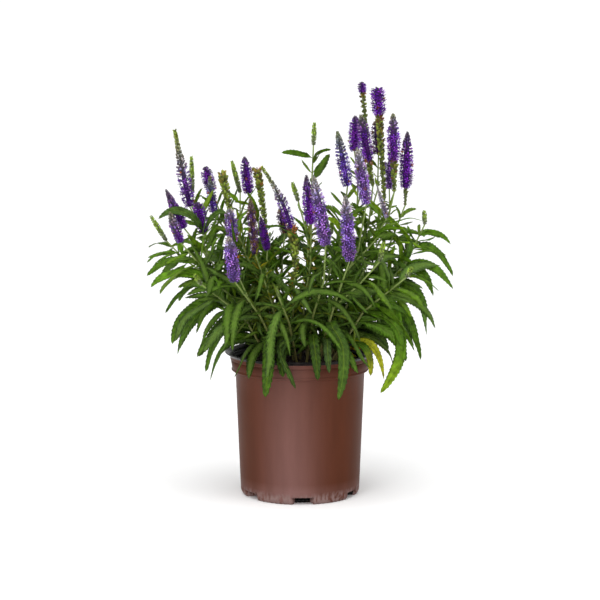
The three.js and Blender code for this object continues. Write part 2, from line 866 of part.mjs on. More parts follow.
const plant = new THREE.Group();
plant.add(meshOf(pot, "pot", FINISH.pot), meshOf(mix, "potting_mix", FINISH.mix));
plant.add(meshOf(twig, "dry_twig", FINISH.twig));
for (const { node, parts } of plants) plant.add(meshOf(fuse(parts), node, FINISH.leaf));
for (const { name, solid } of blooms) plant.add(meshOf(solid, name, FINISH.bloom));

export default plant;
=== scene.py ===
"""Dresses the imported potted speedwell: fine leaves, flowers, potting mix and pot around the fixed frame.

Sizes are in millimetres where a name ends in no unit, as in the plant's own table, and the meshes are made in
metres. The front of the pot faces -Y.
"""

from __future__ import annotations

import logging
from collections.abc import Callable
from dataclasses import dataclass, field, replace
from enum import Enum
from math import atan2, copysign, cos, degrees, floor, hypot, pi, radians, sin, sqrt

import bmesh
import bpy
import numpy as np
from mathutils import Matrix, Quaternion, Vector, kdtree


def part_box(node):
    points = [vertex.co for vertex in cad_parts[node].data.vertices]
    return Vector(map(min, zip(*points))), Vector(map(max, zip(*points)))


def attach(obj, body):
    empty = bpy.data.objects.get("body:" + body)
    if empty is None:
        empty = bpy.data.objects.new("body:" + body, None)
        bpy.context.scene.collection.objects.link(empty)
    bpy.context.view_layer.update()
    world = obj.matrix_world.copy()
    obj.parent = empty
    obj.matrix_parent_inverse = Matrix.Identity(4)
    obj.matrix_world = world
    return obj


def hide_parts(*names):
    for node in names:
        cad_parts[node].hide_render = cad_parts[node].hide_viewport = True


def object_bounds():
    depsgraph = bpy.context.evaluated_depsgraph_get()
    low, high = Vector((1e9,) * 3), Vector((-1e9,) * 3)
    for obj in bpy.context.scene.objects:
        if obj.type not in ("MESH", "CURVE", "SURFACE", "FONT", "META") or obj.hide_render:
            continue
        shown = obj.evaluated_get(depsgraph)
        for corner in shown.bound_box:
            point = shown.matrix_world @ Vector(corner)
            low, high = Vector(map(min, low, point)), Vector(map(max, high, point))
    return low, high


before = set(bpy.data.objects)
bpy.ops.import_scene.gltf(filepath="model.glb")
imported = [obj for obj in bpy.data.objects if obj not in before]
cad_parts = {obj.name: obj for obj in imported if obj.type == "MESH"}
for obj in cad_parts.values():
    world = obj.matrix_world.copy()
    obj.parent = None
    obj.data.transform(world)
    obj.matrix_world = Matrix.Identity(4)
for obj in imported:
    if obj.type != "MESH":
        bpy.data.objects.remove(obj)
CAD_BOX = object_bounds()
LOG = logging.getLogger("speedwell")

MM = 0.001
UP = Vector((0, 0, 1))
PLAIN = (1, 1, 1, 1)
Colour = tuple[float, float, float]
Spot = tuple[float, float, float]
Array = np.ndarray
Socket = bpy.types.NodeSocket
Material = bpy.types.Material
Object = bpy.types.Object
Value = Socket | float
Random = np.random.Generator


def linear(red: int, green: int, blue: int) -> Colour:
    """The linear values that shaders take, from those of a colour as seen on screen, from 0 to 255."""
    shares = [c / 255 for c in (red, green, blue)]
    return tuple(s / 12.92 if s <= 0.04045 else ((s + 0.055) / 1.055) ** 2.4 for s in shares)


# Sizes of the pot, as in the frame


@dataclass(frozen=True)
class PotSizes:
    """Driving sizes of the pot and of the mix in it."""

    height: float = 169.7
    lip_radius: float = 88.5
    lip_thick: float = 1.2
    lip_rise: float = 5
    band_radius: float = 79.9
    band_top: float = 82.6
    band_height: float = 20
    band_step: float = 3.5
    band_neck: float = 6
    body_top: float = 76.1
    body_bottom: float = 70.4
    corner_height: float = 5
    foot_outer: float = 67
    foot_inner: float = 55
    foot_slope: float = 3
    floor_rise: float = 2
    wall: float = 1.6
    mix_level: float = 157
    mix_crown: float = 5
    mix_lump: float = 1.6
    lump_x: float = 9
    lump_y: float = 11
    mix_gap: float = 0.35

    @property
    def band(self) -> float:
        """Height of the band's lower edge."""
        return self.height - self.band_height

    def mix_at(self, x: float, y: float) -> float:
        """Height of the mix's surface at a place."""
        out = hypot(x, y) / self.band_radius
        lumps = sin(x / self.lump_x) * cos(y / self.lump_y)
        return self.mix_level + self.mix_crown * (1 - out * out) + self.mix_lump * lumps


POT = PotSizes()


# The plant's table, as in the frame


class Hue(Enum):
    """Colours of a spike: open florets, swelling buds, tight buds at the tip."""

    DEEP = (linear(102, 32, 156), linear(88, 46, 122), linear(88, 76, 92))
    VIOLET = (linear(108, 42, 158), linear(108, 80, 134), linear(112, 114, 84))
    LIGHT = (linear(132, 92, 176), linear(146, 130, 164), linear(144, 142, 132))
    SLATE = (linear(102, 66, 166), linear(100, 98, 132), linear(104, 112, 78))
    SILVER = (linear(150, 138, 168), linear(168, 160, 172), linear(160, 160, 154))
    DUSK = (linear(92, 56, 116), linear(110, 84, 92), linear(112, 106, 70))
    GREEN = (linear(98, 40, 154), linear(118, 104, 130), linear(112, 126, 44))


GREEN_REACH = ((0, 0.12, 0.45, 0.6, 0.75, 1), (0.9, 1.2, 1.1, 0.66, 0.44, 0.3))
GREEN_RIPENING = ((0, 0.34, 0.45, 0.68, 1), (0, 0.05, 0.3, 0.62, 1))


@dataclass(frozen=True)
class Aimed:
    """A leaf aimed at its place: where it leaves its axis, the curve it follows, and its look."""

    at: float
    over: Spot
    tip: Spot
    roll: float
    age: float = 0.32
    tone: float = 0.3
    # Share of a painted grey sheen on the leaf.
    grey: float = 0
    ageing: float = 0
    widen: float = 1
    most: float = 0.25
    sway: float = 0
    blunt: float = 1


@dataclass(frozen=True)
class Axis:
    """One axis of a shoot: its stem up to the neck, and its spike from there to the end."""

    neck: Spot
    end: Spot
    start: float = 0
    bow: float = 0
    spent: float = 0
    girth: float = 0
    taper: float = 0.4
    bud: bool = False
    pairs: int = 1
    hue: Hue = Hue.VIOLET
    budding: float = 0
    husk: float = 1
    rusty: bool = True
    aimed: tuple[Aimed, ...] = ()

    def reach(self, share: Array | float) -> Array | float:
        """The bloom's radius at a share of its length: full below, narrowing into the buds."""
        if self.hue is Hue.GREEN:
            return self.girth * np.interp(share, *GREEN_REACH)
        narrowed = np.clip((share - 1 + self.taper) / self.taper, 0, 1)
        return self.girth * np.minimum(1, 0.72 + 2 * np.asarray(share)) * (1 - 0.86 * narrowed**1.1)

    def ripening(self, share: Array) -> Array:
        """How far from bloom the florets are at a share of its length: 0 open, 1 the tightest buds."""
        if self.hue is Hue.GREEN:
            return np.interp(share, *GREEN_RIPENING)
        budding = self.budding or self.taper
        return np.clip((share - 1 + budding) / budding, 0, 1)


@dataclass(frozen=True)
class Shoot:
    """A leafy stem: its foot on the mix, and its axes."""

    foot: tuple[float, float]
    axes: tuple[Axis, ...]


SHOOTS = (
    Shoot((26, 24), (
        Axis((81, 75, 413), (74, 75, 484), spent=0.82, girth=6, pairs=4, hue=Hue.DEEP, husk=0.85),
        Axis((65, 55, 402), (66, 55, 444), start=0.66, girth=8.5, taper=0.3, hue=Hue.DEEP),
    )),
    Shoot((36, 4), (
        Axis((99, 10, 347), (90, 10, 478), spent=0.76, girth=9.3, taper=0.12, pairs=4, hue=Hue.DEEP),
    )),
    Shoot((27, 12), (
        Axis((86, 25, 362), (71, 25, 446), spent=0.36, girth=9, pairs=4),
        Axis((94, 60, 398), (91, 60, 438), start=0.7, girth=8, taper=0.2, hue=Hue.DUSK),
    )),
    Shoot((24, -12), (
        Axis((76, -40, 346), (65, -40, 410), girth=8.6, taper=0.45, pairs=4, hue=Hue.LIGHT),
        Axis((100, -30, 329), (88, -30, 368), start=0.55, girth=4, taper=0.7, hue=Hue.SILVER),
    )),
    Shoot((14, -2), (Axis((55, -15, 365), (43, -15, 428), girth=8.6, taper=0.5, pairs=4, hue=Hue.SLATE),)),
    Shoot((42, -8), (
        Axis((110, 0, 357), (108, 0, 448), spent=0.4, girth=9.2, taper=0.45, pairs=4),
        Axis((106, 36, 358), (107, 37, 396), start=0.72, girth=8, taper=0.2, hue=Hue.LIGHT),
    )),
    Shoot((45, 12), (
        Axis((124, 20, 340), (126, 20, 426), spent=0.24, girth=9.2, taper=0.45, pairs=4, hue=Hue.DEEP,
             husk=0.7),
    )),
    Shoot((50, -2), (
        Axis((147, 14, 318), (146, 14, 334), bud=True, pairs=4, aimed=(
            Aimed(0.35, (125, -12, 240), (138, -20, 175), 45),
            Aimed(0.5, (146, 12, 262), (150, 10, 187), 50),
            Aimed(0.65, (155, -4, 285), (179, -10, 244), 45, age=0.32, tone=0.4, blunt=0.3),
            Aimed(0.8, (165, 18, 300), (181, 20, 256), 50),
            Aimed(0.9, (160, 0, 318), (176, -5, 296), 40, age=0.26, tone=0.5, blunt=0.3),
        )),
    )),
    Shoot((38, -24), (
        Axis((122, -46, 262), (128, -49, 274), bud=True, pairs=4, aimed=(
            Aimed(0.8, (124, -52, 190), (93, -50, 128), 80, age=0.3, tone=0.4, ageing=-0.3, sway=8,
                  blunt=0.8),
            Aimed(0.15, (84, -56, 194), (81, -62, 150), 20, age=0.4, ageing=0.2),
            Aimed(0.5, (112, -55, 222), (117, -62, 184), 40),
        )),
    )),
    Shoot((40, 30), (
        Axis((126, 66, 276), (132, 69, 288), bud=True, pairs=3, aimed=(
            Aimed(0.35, (120, 30, 240), (144, 22, 155), 50),
            Aimed(0.8, (150, 50, 275), (160, 44, 229), 40),
        )),
    )),
    Shoot((8, 14), (
        Axis((16, 40, 410), (17, 40, 436), bud=True, pairs=4, aimed=(
            Aimed(0.93, (-4, 34, 404), (-22, 30, 401), -30, age=0.34, tone=0.4, widen=1.3, most=1.3,
                  blunt=0.4),
            Aimed(0.93, (26, 38, 408), (37, 40, 404), 30, age=0.26, widen=1.3, most=1.3, blunt=0.5),
            Aimed(0.8, (24, 34, 382), (35, 26, 400), 60, age=0.34, tone=0.4, widen=1.4, most=1.3, blunt=0.6),
        )),
    )),
    Shoot((0, -12), (
        Axis((13, -45, 323), (7, -45, 379), girth=8.6, taper=0.5, pairs=4, hue=Hue.DEEP),
        Axis((-2, 2, 346), (-9, 4, 368), start=0.55, bud=True),
    )),
    Shoot((8, -26), (
        Axis((29, -80, 302), (15, -80, 380), girth=9.5, pairs=3, hue=Hue.LIGHT, aimed=(
            Aimed(0.15, (16, -80, 212), (20, -104, 152), 0, age=0.3, tone=-0.15),
        )),
    )),
    Shoot((20, -30), (
        Axis((56, -75, 284), (51, -75, 358), girth=9.2, pairs=3, hue=Hue.LIGHT, aimed=(
            Aimed(0.15, (32, -78, 212), (33, -102, 160), 0, age=0.4, tone=-0.05, grey=0.5, widen=0.8),
            Aimed(0.35, (40, -96, 222), (43, -106, 130), 10, age=0.34, tone=0.0, ageing=-0.12, sway=10,
                  grey=0.15),
        )),
        Axis((90, -82, 284), (94, -84, 306), start=0.5, bud=True),
    )),
    Shoot((-8, -22), (
        Axis((-6, -35, 260), (-44, -35, 388), bow=13, spent=0.45, girth=6, taper=0.75, pairs=3, hue=Hue.GREEN,
             husk=1.3),
    )),
    Shoot((-18, -12), (
        Axis((-51, -52, 289), (-57, -52, 354), girth=6, taper=0.3, pairs=3, hue=Hue.DUSK),
        Axis((-38, -14, 290), (-46, -14, 330), start=0.6, girth=5.5, hue=Hue.DEEP),
    )),
    Shoot((-8, 8), (
        Axis((-40, 18, 312), (-50, 18, 382), spent=1, pairs=3, husk=1.15),
        Axis((-61, 42, 352), (-66, 42, 396), start=0.7, girth=8, taper=0.35, hue=Hue.DEEP),
        Axis((-18, 30, 306), (-24, 30, 336), start=0.48, girth=7, taper=0.35, hue=Hue.DUSK),
    )),
    Shoot((-24, 6), (
        Axis((-78, -5, 322), (-91, -5, 380), spent=1, pairs=4, husk=1.2, rusty=False),
        Axis((-72, 66, 352), (-82, 66, 390), start=0.72, bud=True),
    )),
    Shoot((-22, -26), (
        Axis((-73, -91, 262), (-80, -91, 313), girth=8.8, taper=0.3, pairs=3, hue=Hue.LIGHT, aimed=(
            Aimed(0.15, (-38, -85, 215), (-39, -106, 133), 0, age=0.32, tone=0.06, sway=3),
        )),
        Axis((-76, -58, 304), (-80, -58, 342), start=0.7, girth=8, taper=0.3, hue=Hue.LIGHT),
    )),
    Shoot((-34, 14), (
        Axis((-130, 20, 338), (-147, 20, 428), girth=7.6, taper=0.75, pairs=4, hue=Hue.GREEN, aimed=(
            Aimed(0.35, (-125, 20, 235), (-146, 20, 162), -50),
        )),
        Axis((-129, 58, 352), (-130, 58, 396), start=0.75, bud=True),
    )),
    Shoot((-26, 26), (
        Axis((-108, 88, 352), (-115, 88, 382), girth=8.6, taper=0.3, pairs=4, hue=Hue.DEEP),
        Axis((-104, 48, 330), (-108, 48, 372), start=0.7, girth=7, taper=0.6, hue=Hue.SLATE),
    )),
    Shoot((-40, 0), (
        Axis((-134, -20, 316), (-155, -20, 361), girth=7.5, taper=0.6, pairs=4, hue=Hue.DEEP, budding=0.75,
             aimed=(
            Aimed(0.15, (-95, -6, 215), (-111, -10, 146), -50),
            Aimed(0.35, (-130, -10, 245), (-150, -10, 179), -50),
            Aimed(0.5, (-130, -16, 262), (-157, -20, 217), -45, age=0.38, tone=0.3, blunt=0.5),
        )),
        Axis((-112, -2, 310), (-120, -2, 345), start=0.72, girth=8.4, taper=0.25, hue=Hue.DEEP),
    )),
    Shoot((-40, -14), (
        Axis((-136, -48, 302), (-149, -48, 337), girth=6.4, taper=0.4, pairs=4, hue=Hue.VIOLET, budding=0.8,
             aimed=(
            Aimed(0.65, (-145, -48, 278), (-171, -50, 251), -40, age=0.22, tone=0.5, blunt=0.5),
            Aimed(0.8, (-150, -36, 290), (-178, -22, 261), -40, age=0.32, tone=0.3, blunt=0.5),
        )),
        Axis((-157, 8, 299), (-175, 8, 328), start=0.66, bud=True, aimed=(
            Aimed(0.65, (-162, -10, 292), (-179, -10, 275), -30, age=0.24, tone=0.5, blunt=0.4),
            Aimed(0.8, (-165, 18, 300), (-180, 30, 289), -30),
        )),
    )),
    Shoot((-34, -30), (
        Axis((-112, -66, 256), (-120, -70, 268), bud=True, pairs=4, aimed=(
            Aimed(0.25, (-85, -42, 205), (-104, -45, 142), -35, age=0.34, tone=0.3, blunt=0.5),
        )),
    )),
    Shoot((-36, 34), (Axis((-122, 70, 276), (-130, 73, 290), bud=True, pairs=4),)),
    Shoot((-4, -38), (
        Axis((-24, -96, 246), (-26, -104, 258), bud=True, husk=0.55, pairs=3, aimed=(
            Aimed(0.15, (-18, -80, 200), (-19, -100, 155), 0, age=0.36, tone=-0.1, sway=-4),
            Aimed(0.3, (-12, -88, 214), (-5, -108, 143), 0, age=0.4, tone=-0.08, ageing=-0.1, sway=-12,
                  grey=0.3),
        )),
    )),
    Shoot((10, 36), (Axis((38, 90, 300), (40, 96, 318), bud=True, pairs=3),)),
    Shoot((-12, 36), (Axis((-46, 98, 292), (-50, 105, 310), bud=True, pairs=3),)),
)


# Curves


@dataclass(frozen=True)
class Bezier:
    """A Bezier curve of three or four points."""

    points: tuple[Vector, ...]

    def at(self, t: float) -> Vector:
        """The point at a share of the curve's parameter."""
        rest = list(self.points)
        while len(rest) > 1:
            rest = [a.lerp(b, t) for a, b in zip(rest, rest[1:])]
        return rest[0]

    def along(self, t: float) -> Vector:
        """The direction at a share of the curve's parameter."""
        step = 1e-4
        return (self.at(min(1, t + step)) - self.at(max(0, t - step))).normalized()

    def length(self, divisions: int = 200) -> float:
        """The curve's length, as the sum of short chords."""
        stops = [self.at(k / divisions) for k in range(divisions + 1)]
        return sum((b - a).length for a, b in zip(stops, stops[1:]))


def out_from(along: Vector, bearing: float) -> Vector:
    """The direction at a bearing about an axis and square to it, measured from the side that faces +X."""
    u = (Vector((1, 0, 0)) - along * along.x).normalized()
    return u * cos(bearing) + along.cross(u) * sin(bearing)


@dataclass(frozen=True)
class Stalk:
    """A stem along a curve, made of straight pieces as in the frame."""

    curve: Bezier
    step: float = 60

    @property
    def pieces(self) -> int:
        """How many straight pieces the stem has."""
        return max(2, floor(self.curve.length() / self.step + 0.5))

    def on(self, t: float) -> tuple[Vector, Vector]:
        """The place and direction at a share of the stem."""
        n = self.pieces
        k = min(n - 1, floor(t * n))
        low, high = self.curve.at(k / n), self.curve.at((k + 1) / n)
        return low.lerp(high, t * n - k), (high - low).normalized()


class Draws:
    """Seeded draws, in the order that the frame makes them."""

    def __init__(self, seed: int) -> None:
        """Starts from a seed."""
        self.state = seed

    def between(self, low: float, high: float) -> float:
        """A draw between two limits."""
        self.state = (self.state * 1664525 + 1013904223) % 4294967296
        return low + (high - low) * self.state / 4294967296


# Mesh assembly


def put(name: str, data: bpy.types.ID) -> Object:
    """Makes an object of a mesh, a light or a camera, and links it to the scene."""
    obj = bpy.data.objects.new(name, data)
    bpy.context.scene.collection.objects.link(obj)
    return obj


def report(obj: Object) -> None:
    """Logs how many triangles an object has."""
    LOG.info("%s: %d triangles", obj.name, sum(len(p.vertices) - 2 for p in obj.data.polygons))


@dataclass
class Pieces:
    """Gathers many small meshes, in millimetres, and makes one object of them in metres."""

    points: list[Array] = field(default_factory=list)
    looks: list[Array] = field(default_factory=list)
    maps: list[Array] = field(default_factory=list)
    faces: list[Array] = field(default_factory=list)
    finishes: list[Array] = field(default_factory=list)
    count: int = 0

    def add(
        self,
        points: Array,
        faces: Array,
        finish: int,
        look: Array | tuple,
        uv: Array | None = None,
        ends: Array | None = None,
    ) -> None:
        """Adds one mesh.

        Args:
            points: Its points, one row each.
            faces: Its faces, all triangles or all quads.
            finish: Index of its material.
            look: Colour of each point, or one colour for all, with a fourth value.
            uv: Place of each point on the material's map, if it has one.
            ends: More faces of the same points, if it has them.
        """
        n = len(points)
        self.points.append(points)
        self.looks.append(np.broadcast_to(look, (n, 4)))
        self.maps.append(np.zeros((n, 2)) if uv is None else uv)
        for part in (faces, ends):
            if part is not None:
                self.faces.append(part + self.count)
                self.finishes.append(np.full(len(part), finish))
        self.count += n

    def add_tube(self, stops: list, radii: list, sides: int, finish: int, look: Array | tuple) -> None:
        """Adds a round tube through points, closed at both ends."""
        self.add(*tube(stops, radii, sides), finish, look)

    def build(self, name: str, materials: list[Material]) -> Object:
        """Makes the object.

        Args:
            name: The object's name.
            materials: Its materials, in the order of the finishes.

        Returns:
            The linked object.
        """
        mesh = bpy.data.meshes.new(name)
        points = np.concatenate(self.points) * MM
        sizes = np.concatenate([np.full(len(f), f.shape[1]) for f in self.faces])
        corners = np.concatenate([f.ravel() for f in self.faces])
        mesh.vertices.add(len(points))
        mesh.vertices.foreach_set("co", points.astype(np.float32).ravel())
        mesh.loops.add(len(corners))
        mesh.loops.foreach_set("vertex_index", corners.astype(np.int32))
        mesh.polygons.add(len(sizes))
        starts = np.concatenate(([0], np.cumsum(sizes)[:-1]))
        mesh.polygons.foreach_set("loop_start", starts.astype(np.int32))
        mesh.polygons.foreach_set("material_index", np.concatenate(self.finishes).astype(np.int32))
        mesh.polygons.foreach_set("use_smooth", np.ones(len(sizes), bool))
        look = mesh.attributes.new("look", "FLOAT_COLOR", "POINT")
        look.data.foreach_set("color", np.concatenate(self.looks).astype(np.float32).ravel())
        layer = mesh.uv_layers.new(name="map")
        layer.data.foreach_set("uv", np.concatenate(self.maps)[corners].astype(np.float32).ravel())
        mesh.update(calc_edges=True)
        mesh.validate()
        for material in materials:
            mesh.materials.append(material)
        return put(name, mesh)


def ring_quads(rows: int, n: int) -> Array:
    """Quads between rings of `n` points each, which follow one another row by row."""
    a = np.arange(rows * n)
    b = a // n * n + (a + 1) % n
    return np.stack((a, b, b + n, a + n), axis=1)


def tube(stops: list[Vector], radii: list[float], sides: int) -> tuple[Array, Array]:
    """A round tube through points, closed at both ends, as one mesh of triangles.

    Args:
        stops: Points of its centreline.
        radii: Radius at each.
        sides: Number of sides.

    Returns:
        Its points and its faces.
    """
    points, caps = [], []
    last = len(stops) - 1
    for k, (stop, radius) in enumerate(zip(stops, radii)):
        along = (stops[min(last, k + 1)] - stops[max(0, k - 1)]).normalized()
        points += [stop + out_from(along, 2 * pi * i / sides) * radius for i in range(sides)]
    foot, top = len(points), len(points) + 1
    for i in range(sides):
        j = (i + 1) % sides
        caps += [(foot, j, i), (top, last * sides + i, last * sides + j)]
    walls = ring_quads(last, sides)[:, [0, 1, 2, 0, 2, 3]].reshape(-1, 3)
    return np.array([*points, stops[0], stops[-1]]), np.concatenate([walls, caps])


# Materials


class Nodes:
    """Shorthand for building a material's node tree."""

    def __init__(self, name: str) -> None:
        """Makes a material with a Principled shader."""
        self.material = bpy.data.materials.new(name)
        self.material.use_nodes = True
        self.tree = self.material.node_tree
        self.shader = self.tree.nodes["Principled BSDF"].inputs

    def node(self, kind: str, **settings: object) -> bpy.types.Node:
        """Adds a node, with its properties set."""
        made = self.tree.nodes.new(kind)
        for key, value in settings.items():
            setattr(made, key, value)
        return made

    def feed(self, socket: Socket, value: Value | Colour) -> None:
        """Gives a socket another one's output, a number or a colour."""
        if isinstance(value, Socket):
            self.tree.links.new(value, socket)
        else:
            socket.default_value = (*value, 1) if isinstance(value, tuple) else value

    def look(self) -> bpy.types.NodeOutputs:
        """The colour and the fourth value that each point of the mesh carries."""
        return self.node("ShaderNodeAttribute", attribute_name="look").outputs

    def place(self, space: str = "Object", stretch: Spot | None = None) -> Socket:
        """The place of a point in a space, scaled where a stretch is given."""
        where = self.node("ShaderNodeTexCoord").outputs[space]
        if stretch is None:
            return where
        made = self.node("ShaderNodeMapping")
        made.inputs["Scale"].default_value = stretch
        self.feed(made.inputs["Vector"], where)
        return made.outputs[0]

    def apart(self, vector: Socket) -> tuple[Socket, ...]:
        """The three values of a vector or a colour."""
        made = self.node("ShaderNodeSeparateXYZ")
        self.feed(made.inputs[0], vector)
        return tuple(made.outputs)

    def noise(self, scale: float, detail: float = 3, stretch: Spot | None = None) -> Socket:
        """The value of a noise texture in the object's own space."""
        made = self.node("ShaderNodeTexNoise")
        self.feed(made.inputs["Scale"], scale)
        self.feed(made.inputs["Detail"], detail)
        self.feed(made.inputs["Vector"], self.place(stretch=stretch))
        return made.outputs["Fac"]

    def ramp(self, source: Socket, stops: list[tuple[float, Colour]]) -> Socket:
        """A colour ramp over a value.

        Args:
            source: The value.
            stops: Values and their colours, the lowest first.

        Returns:
            The colour.
        """
        made = self.node("ShaderNodeValToRGB")
        elements = made.color_ramp.elements
        while len(elements) < len(stops):
            elements.new(0.5)
        for element, (at, colour) in zip(elements, stops):
            element.position = at
            element.color = (*colour, 1)
        self.feed(made.inputs["Fac"], source)
        return made.outputs["Color"]

    def mix(self, share: Value, a: Socket | Colour, b: Socket | Colour, blend: str = "MIX") -> Socket:
        """Mixes two colours by a share."""
        made = self.node("ShaderNodeMix", data_type="RGBA", blend_type=blend)
        for slot, value in ((0, share), (6, a), (7, b)):
            self.feed(made.inputs[slot], value)
        return made.outputs[2]

    def lit(self, colour: Socket, light: Socket) -> Socket:
        """A colour made brighter or darker by a value."""
        grey = self.node("ShaderNodeCombineColor")
        for socket in grey.inputs:
            self.feed(socket, light)
        return self.mix(1.0, colour, grey.outputs[0], "MULTIPLY")

    def math(self, kind: str, *values: Value) -> Socket:
        """A function of one to three values."""
        made = self.node("ShaderNodeMath", operation=kind)
        for socket, value in zip(made.inputs, values):
            self.feed(socket, value)
        return made.outputs[0]

    def times(self, value: Value, factor: Value, plus: Value = 0.0) -> Socket:
        """A value times another, with a third added."""
        return self.math("MULTIPLY_ADD", value, factor, plus)

    def held(self, value: Value, low: float = 0.0, high: float = 1.0) -> Socket:
        """A value held between two limits."""
        return self.math("MINIMUM", self.math("MAXIMUM", value, low), high)

    def bump(self, height: Socket, strength: float, distance: float) -> None:
        """Bumps the surface by a height."""
        made = self.node("ShaderNodeBump")
        for name, value in (("Strength", strength), ("Distance", distance), ("Height", height)):
            self.feed(made.inputs[name], value)
        self.feed(self.shader["Normal"], made.outputs["Normal"])

    def finish(self, colour: Socket, roughness: Value, specular: float = 0.5) -> Material:
        """Gives the shader its colour, roughness and sheen.

        Args:
            colour: Its colour.
            roughness: Its roughness, from 0 to 1.
            specular: How strongly it mirrors, where 0.5 is usual.

        Returns:
            The material.
        """
        self.feed(self.shader["Base Color"], colour)
        self.feed(self.shader["Roughness"], roughness)
        self.feed(self.shader["Specular IOR Level"], specular)
        return self.material


@dataclass(frozen=True)
class PotOutside:
    """Brown formed plastic with a satin sheen, a scuffed foot and a painted highlight band on two sides."""

    brown: Colour = linear(62, 30, 15)
    redder: Colour = linear(85, 42, 23)
    # The grey of the painted highlight band, and of the paler streaks at the foot.
    sheen_and_foot_grey: Colour = linear(134, 102, 100)
    scuff: Colour = linear(120, 97, 93)
    streaks: Spot = (60, 60, 9)
    wear: Spot = (1, 1, 0.4)
    roughness: float = 0.4
    specular: float = 0.07
    scuff_height: float = 0.013
    # Where the painted highlight band faces, and how narrow and strong it is.
    painted_sheen_side: tuple[float, float] = (-0.17, -0.985)
    sheen_narrow: float = 9
    sheen_share: float = 0.37
    film_foot: float = 0.024

    def build(self) -> Material:
        """Makes the material."""
        n = Nodes("pot_outside")
        place = n.apart(n.place())
        cloud = n.noise(1, 4, self.streaks)
        colour = n.mix(cloud, self.brown, self.redder)
        # Mixes in the painted highlight band and the paler streaks at the foot.
        colour = n.mix(self.painted_sheen_and_pale_foot(n, place, cloud), colour, self.sheen_and_foot_grey)
        edge = n.times(n.math("SUBTRACT", self.scuff_height, place[2]), 190.0, 0.35)
        patchy = n.times(n.noise(300, 6, self.wear), 3.0, -1.1)
        worn = n.times(n.math("MAXIMUM", edge, 0.0), n.math("MAXIMUM", patchy, 0.0))
        n.bump(n.times(cloud, 2.0, n.noise(900)), 0.2, 0.0003)
        scuffed = n.mix(n.held(worn), colour, self.scuff)
        return n.finish(scuffed, n.times(cloud, 0.12, self.roughness), self.specular)

    def painted_sheen_and_pale_foot(self, n: Nodes, place: tuple[Socket, ...], cloud: Socket) -> Socket:
        """The share of grey: a painted highlight band on two sides of the pot, and paler streaks at its foot.

        Args:
            n: The material's nodes.
            place: The place of a point, as three values.
            cloud: The streaks of the plastic.

        Returns:
            The share.
        """
        x, y, z = place
        out = n.math("SQRT", n.times(x, x, n.times(y, y)))
        toward = n.times(x, self.painted_sheen_side[0], n.times(y, self.painted_sheen_side[1]))
        facing_sheen_side = n.math("ABSOLUTE", n.math("DIVIDE", toward, out))
        # Painted highlight: a grey vertical band at the front, a little to the left, and at the back, in
        # place of a soft light's reflection.
        wide = n.times(n.math("POWER", facing_sheen_side, self.sheen_narrow), self.sheen_share)
        wide = n.times(wide, n.times(z, -3.4, 1.18))
        low = n.held(n.times(n.math("SUBTRACT", self.film_foot, z), 30.0), 0.0, 0.25)
        return n.times(wide, n.times(cloud, 0.5, 0.75), n.times(low, cloud))


@dataclass(frozen=True)
class PotInside:
    """Black formed plastic of the inside and the lip."""

    black: Colour = linear(15, 14, 14)
    dust: Colour = linear(44, 36, 32)
    specular: float = 0.08

    def build(self) -> Material:
        """Makes the material."""
        n = Nodes("pot_inside")
        dust = n.noise(160, 5)
        n.bump(dust, 0.2, 0.0004)
        colour = n.ramp(dust, [(0.5, self.black), (0.8, self.dust)])
        return n.finish(colour, n.times(dust, 0.3, 0.14), self.specular)


@dataclass(frozen=True)
class Earth:
    """Damp dark potting mix."""

    dark: Colour = linear(26, 20, 16)
    brown: Colour = linear(66, 50, 38)
    pale: Colour = linear(120, 98, 74)
    roughness: float = 0.92

    def build(self) -> Material:
        """Makes the material."""
        n = Nodes("potting_mix")
        crumbs = n.noise(300, 6)
        chips = n.node("ShaderNodeTexVoronoi")
        n.feed(chips.inputs["Scale"], 260)
        n.feed(chips.inputs["Vector"], n.place())
        n.bump(n.math("ADD", crumbs, chips.outputs["Distance"]), 0.8, 0.0012)
        colour = n.ramp(crumbs, [(0.35, self.dark), (0.62, self.brown), (0.86, self.pale)])
        return n.finish(n.mix(0.8, colour, n.look()["Color"], "MULTIPLY"), self.roughness)


@dataclass(frozen=True)
class Bark:
    """Weathered bark of the dry twig."""

    grey: Colour = linear(140, 124, 108)
    brown: Colour = linear(84, 66, 52)
    roughness: float = 0.85

    def build(self) -> Material:
        """Makes the material."""
        n = Nodes("dry_bark")
        grain = n.noise(500, 5)
        n.bump(grain, 0.6, 0.0006)
        return n.finish(n.ramp(grain, [(0.35, self.brown), (0.65, self.grey)]), self.roughness)


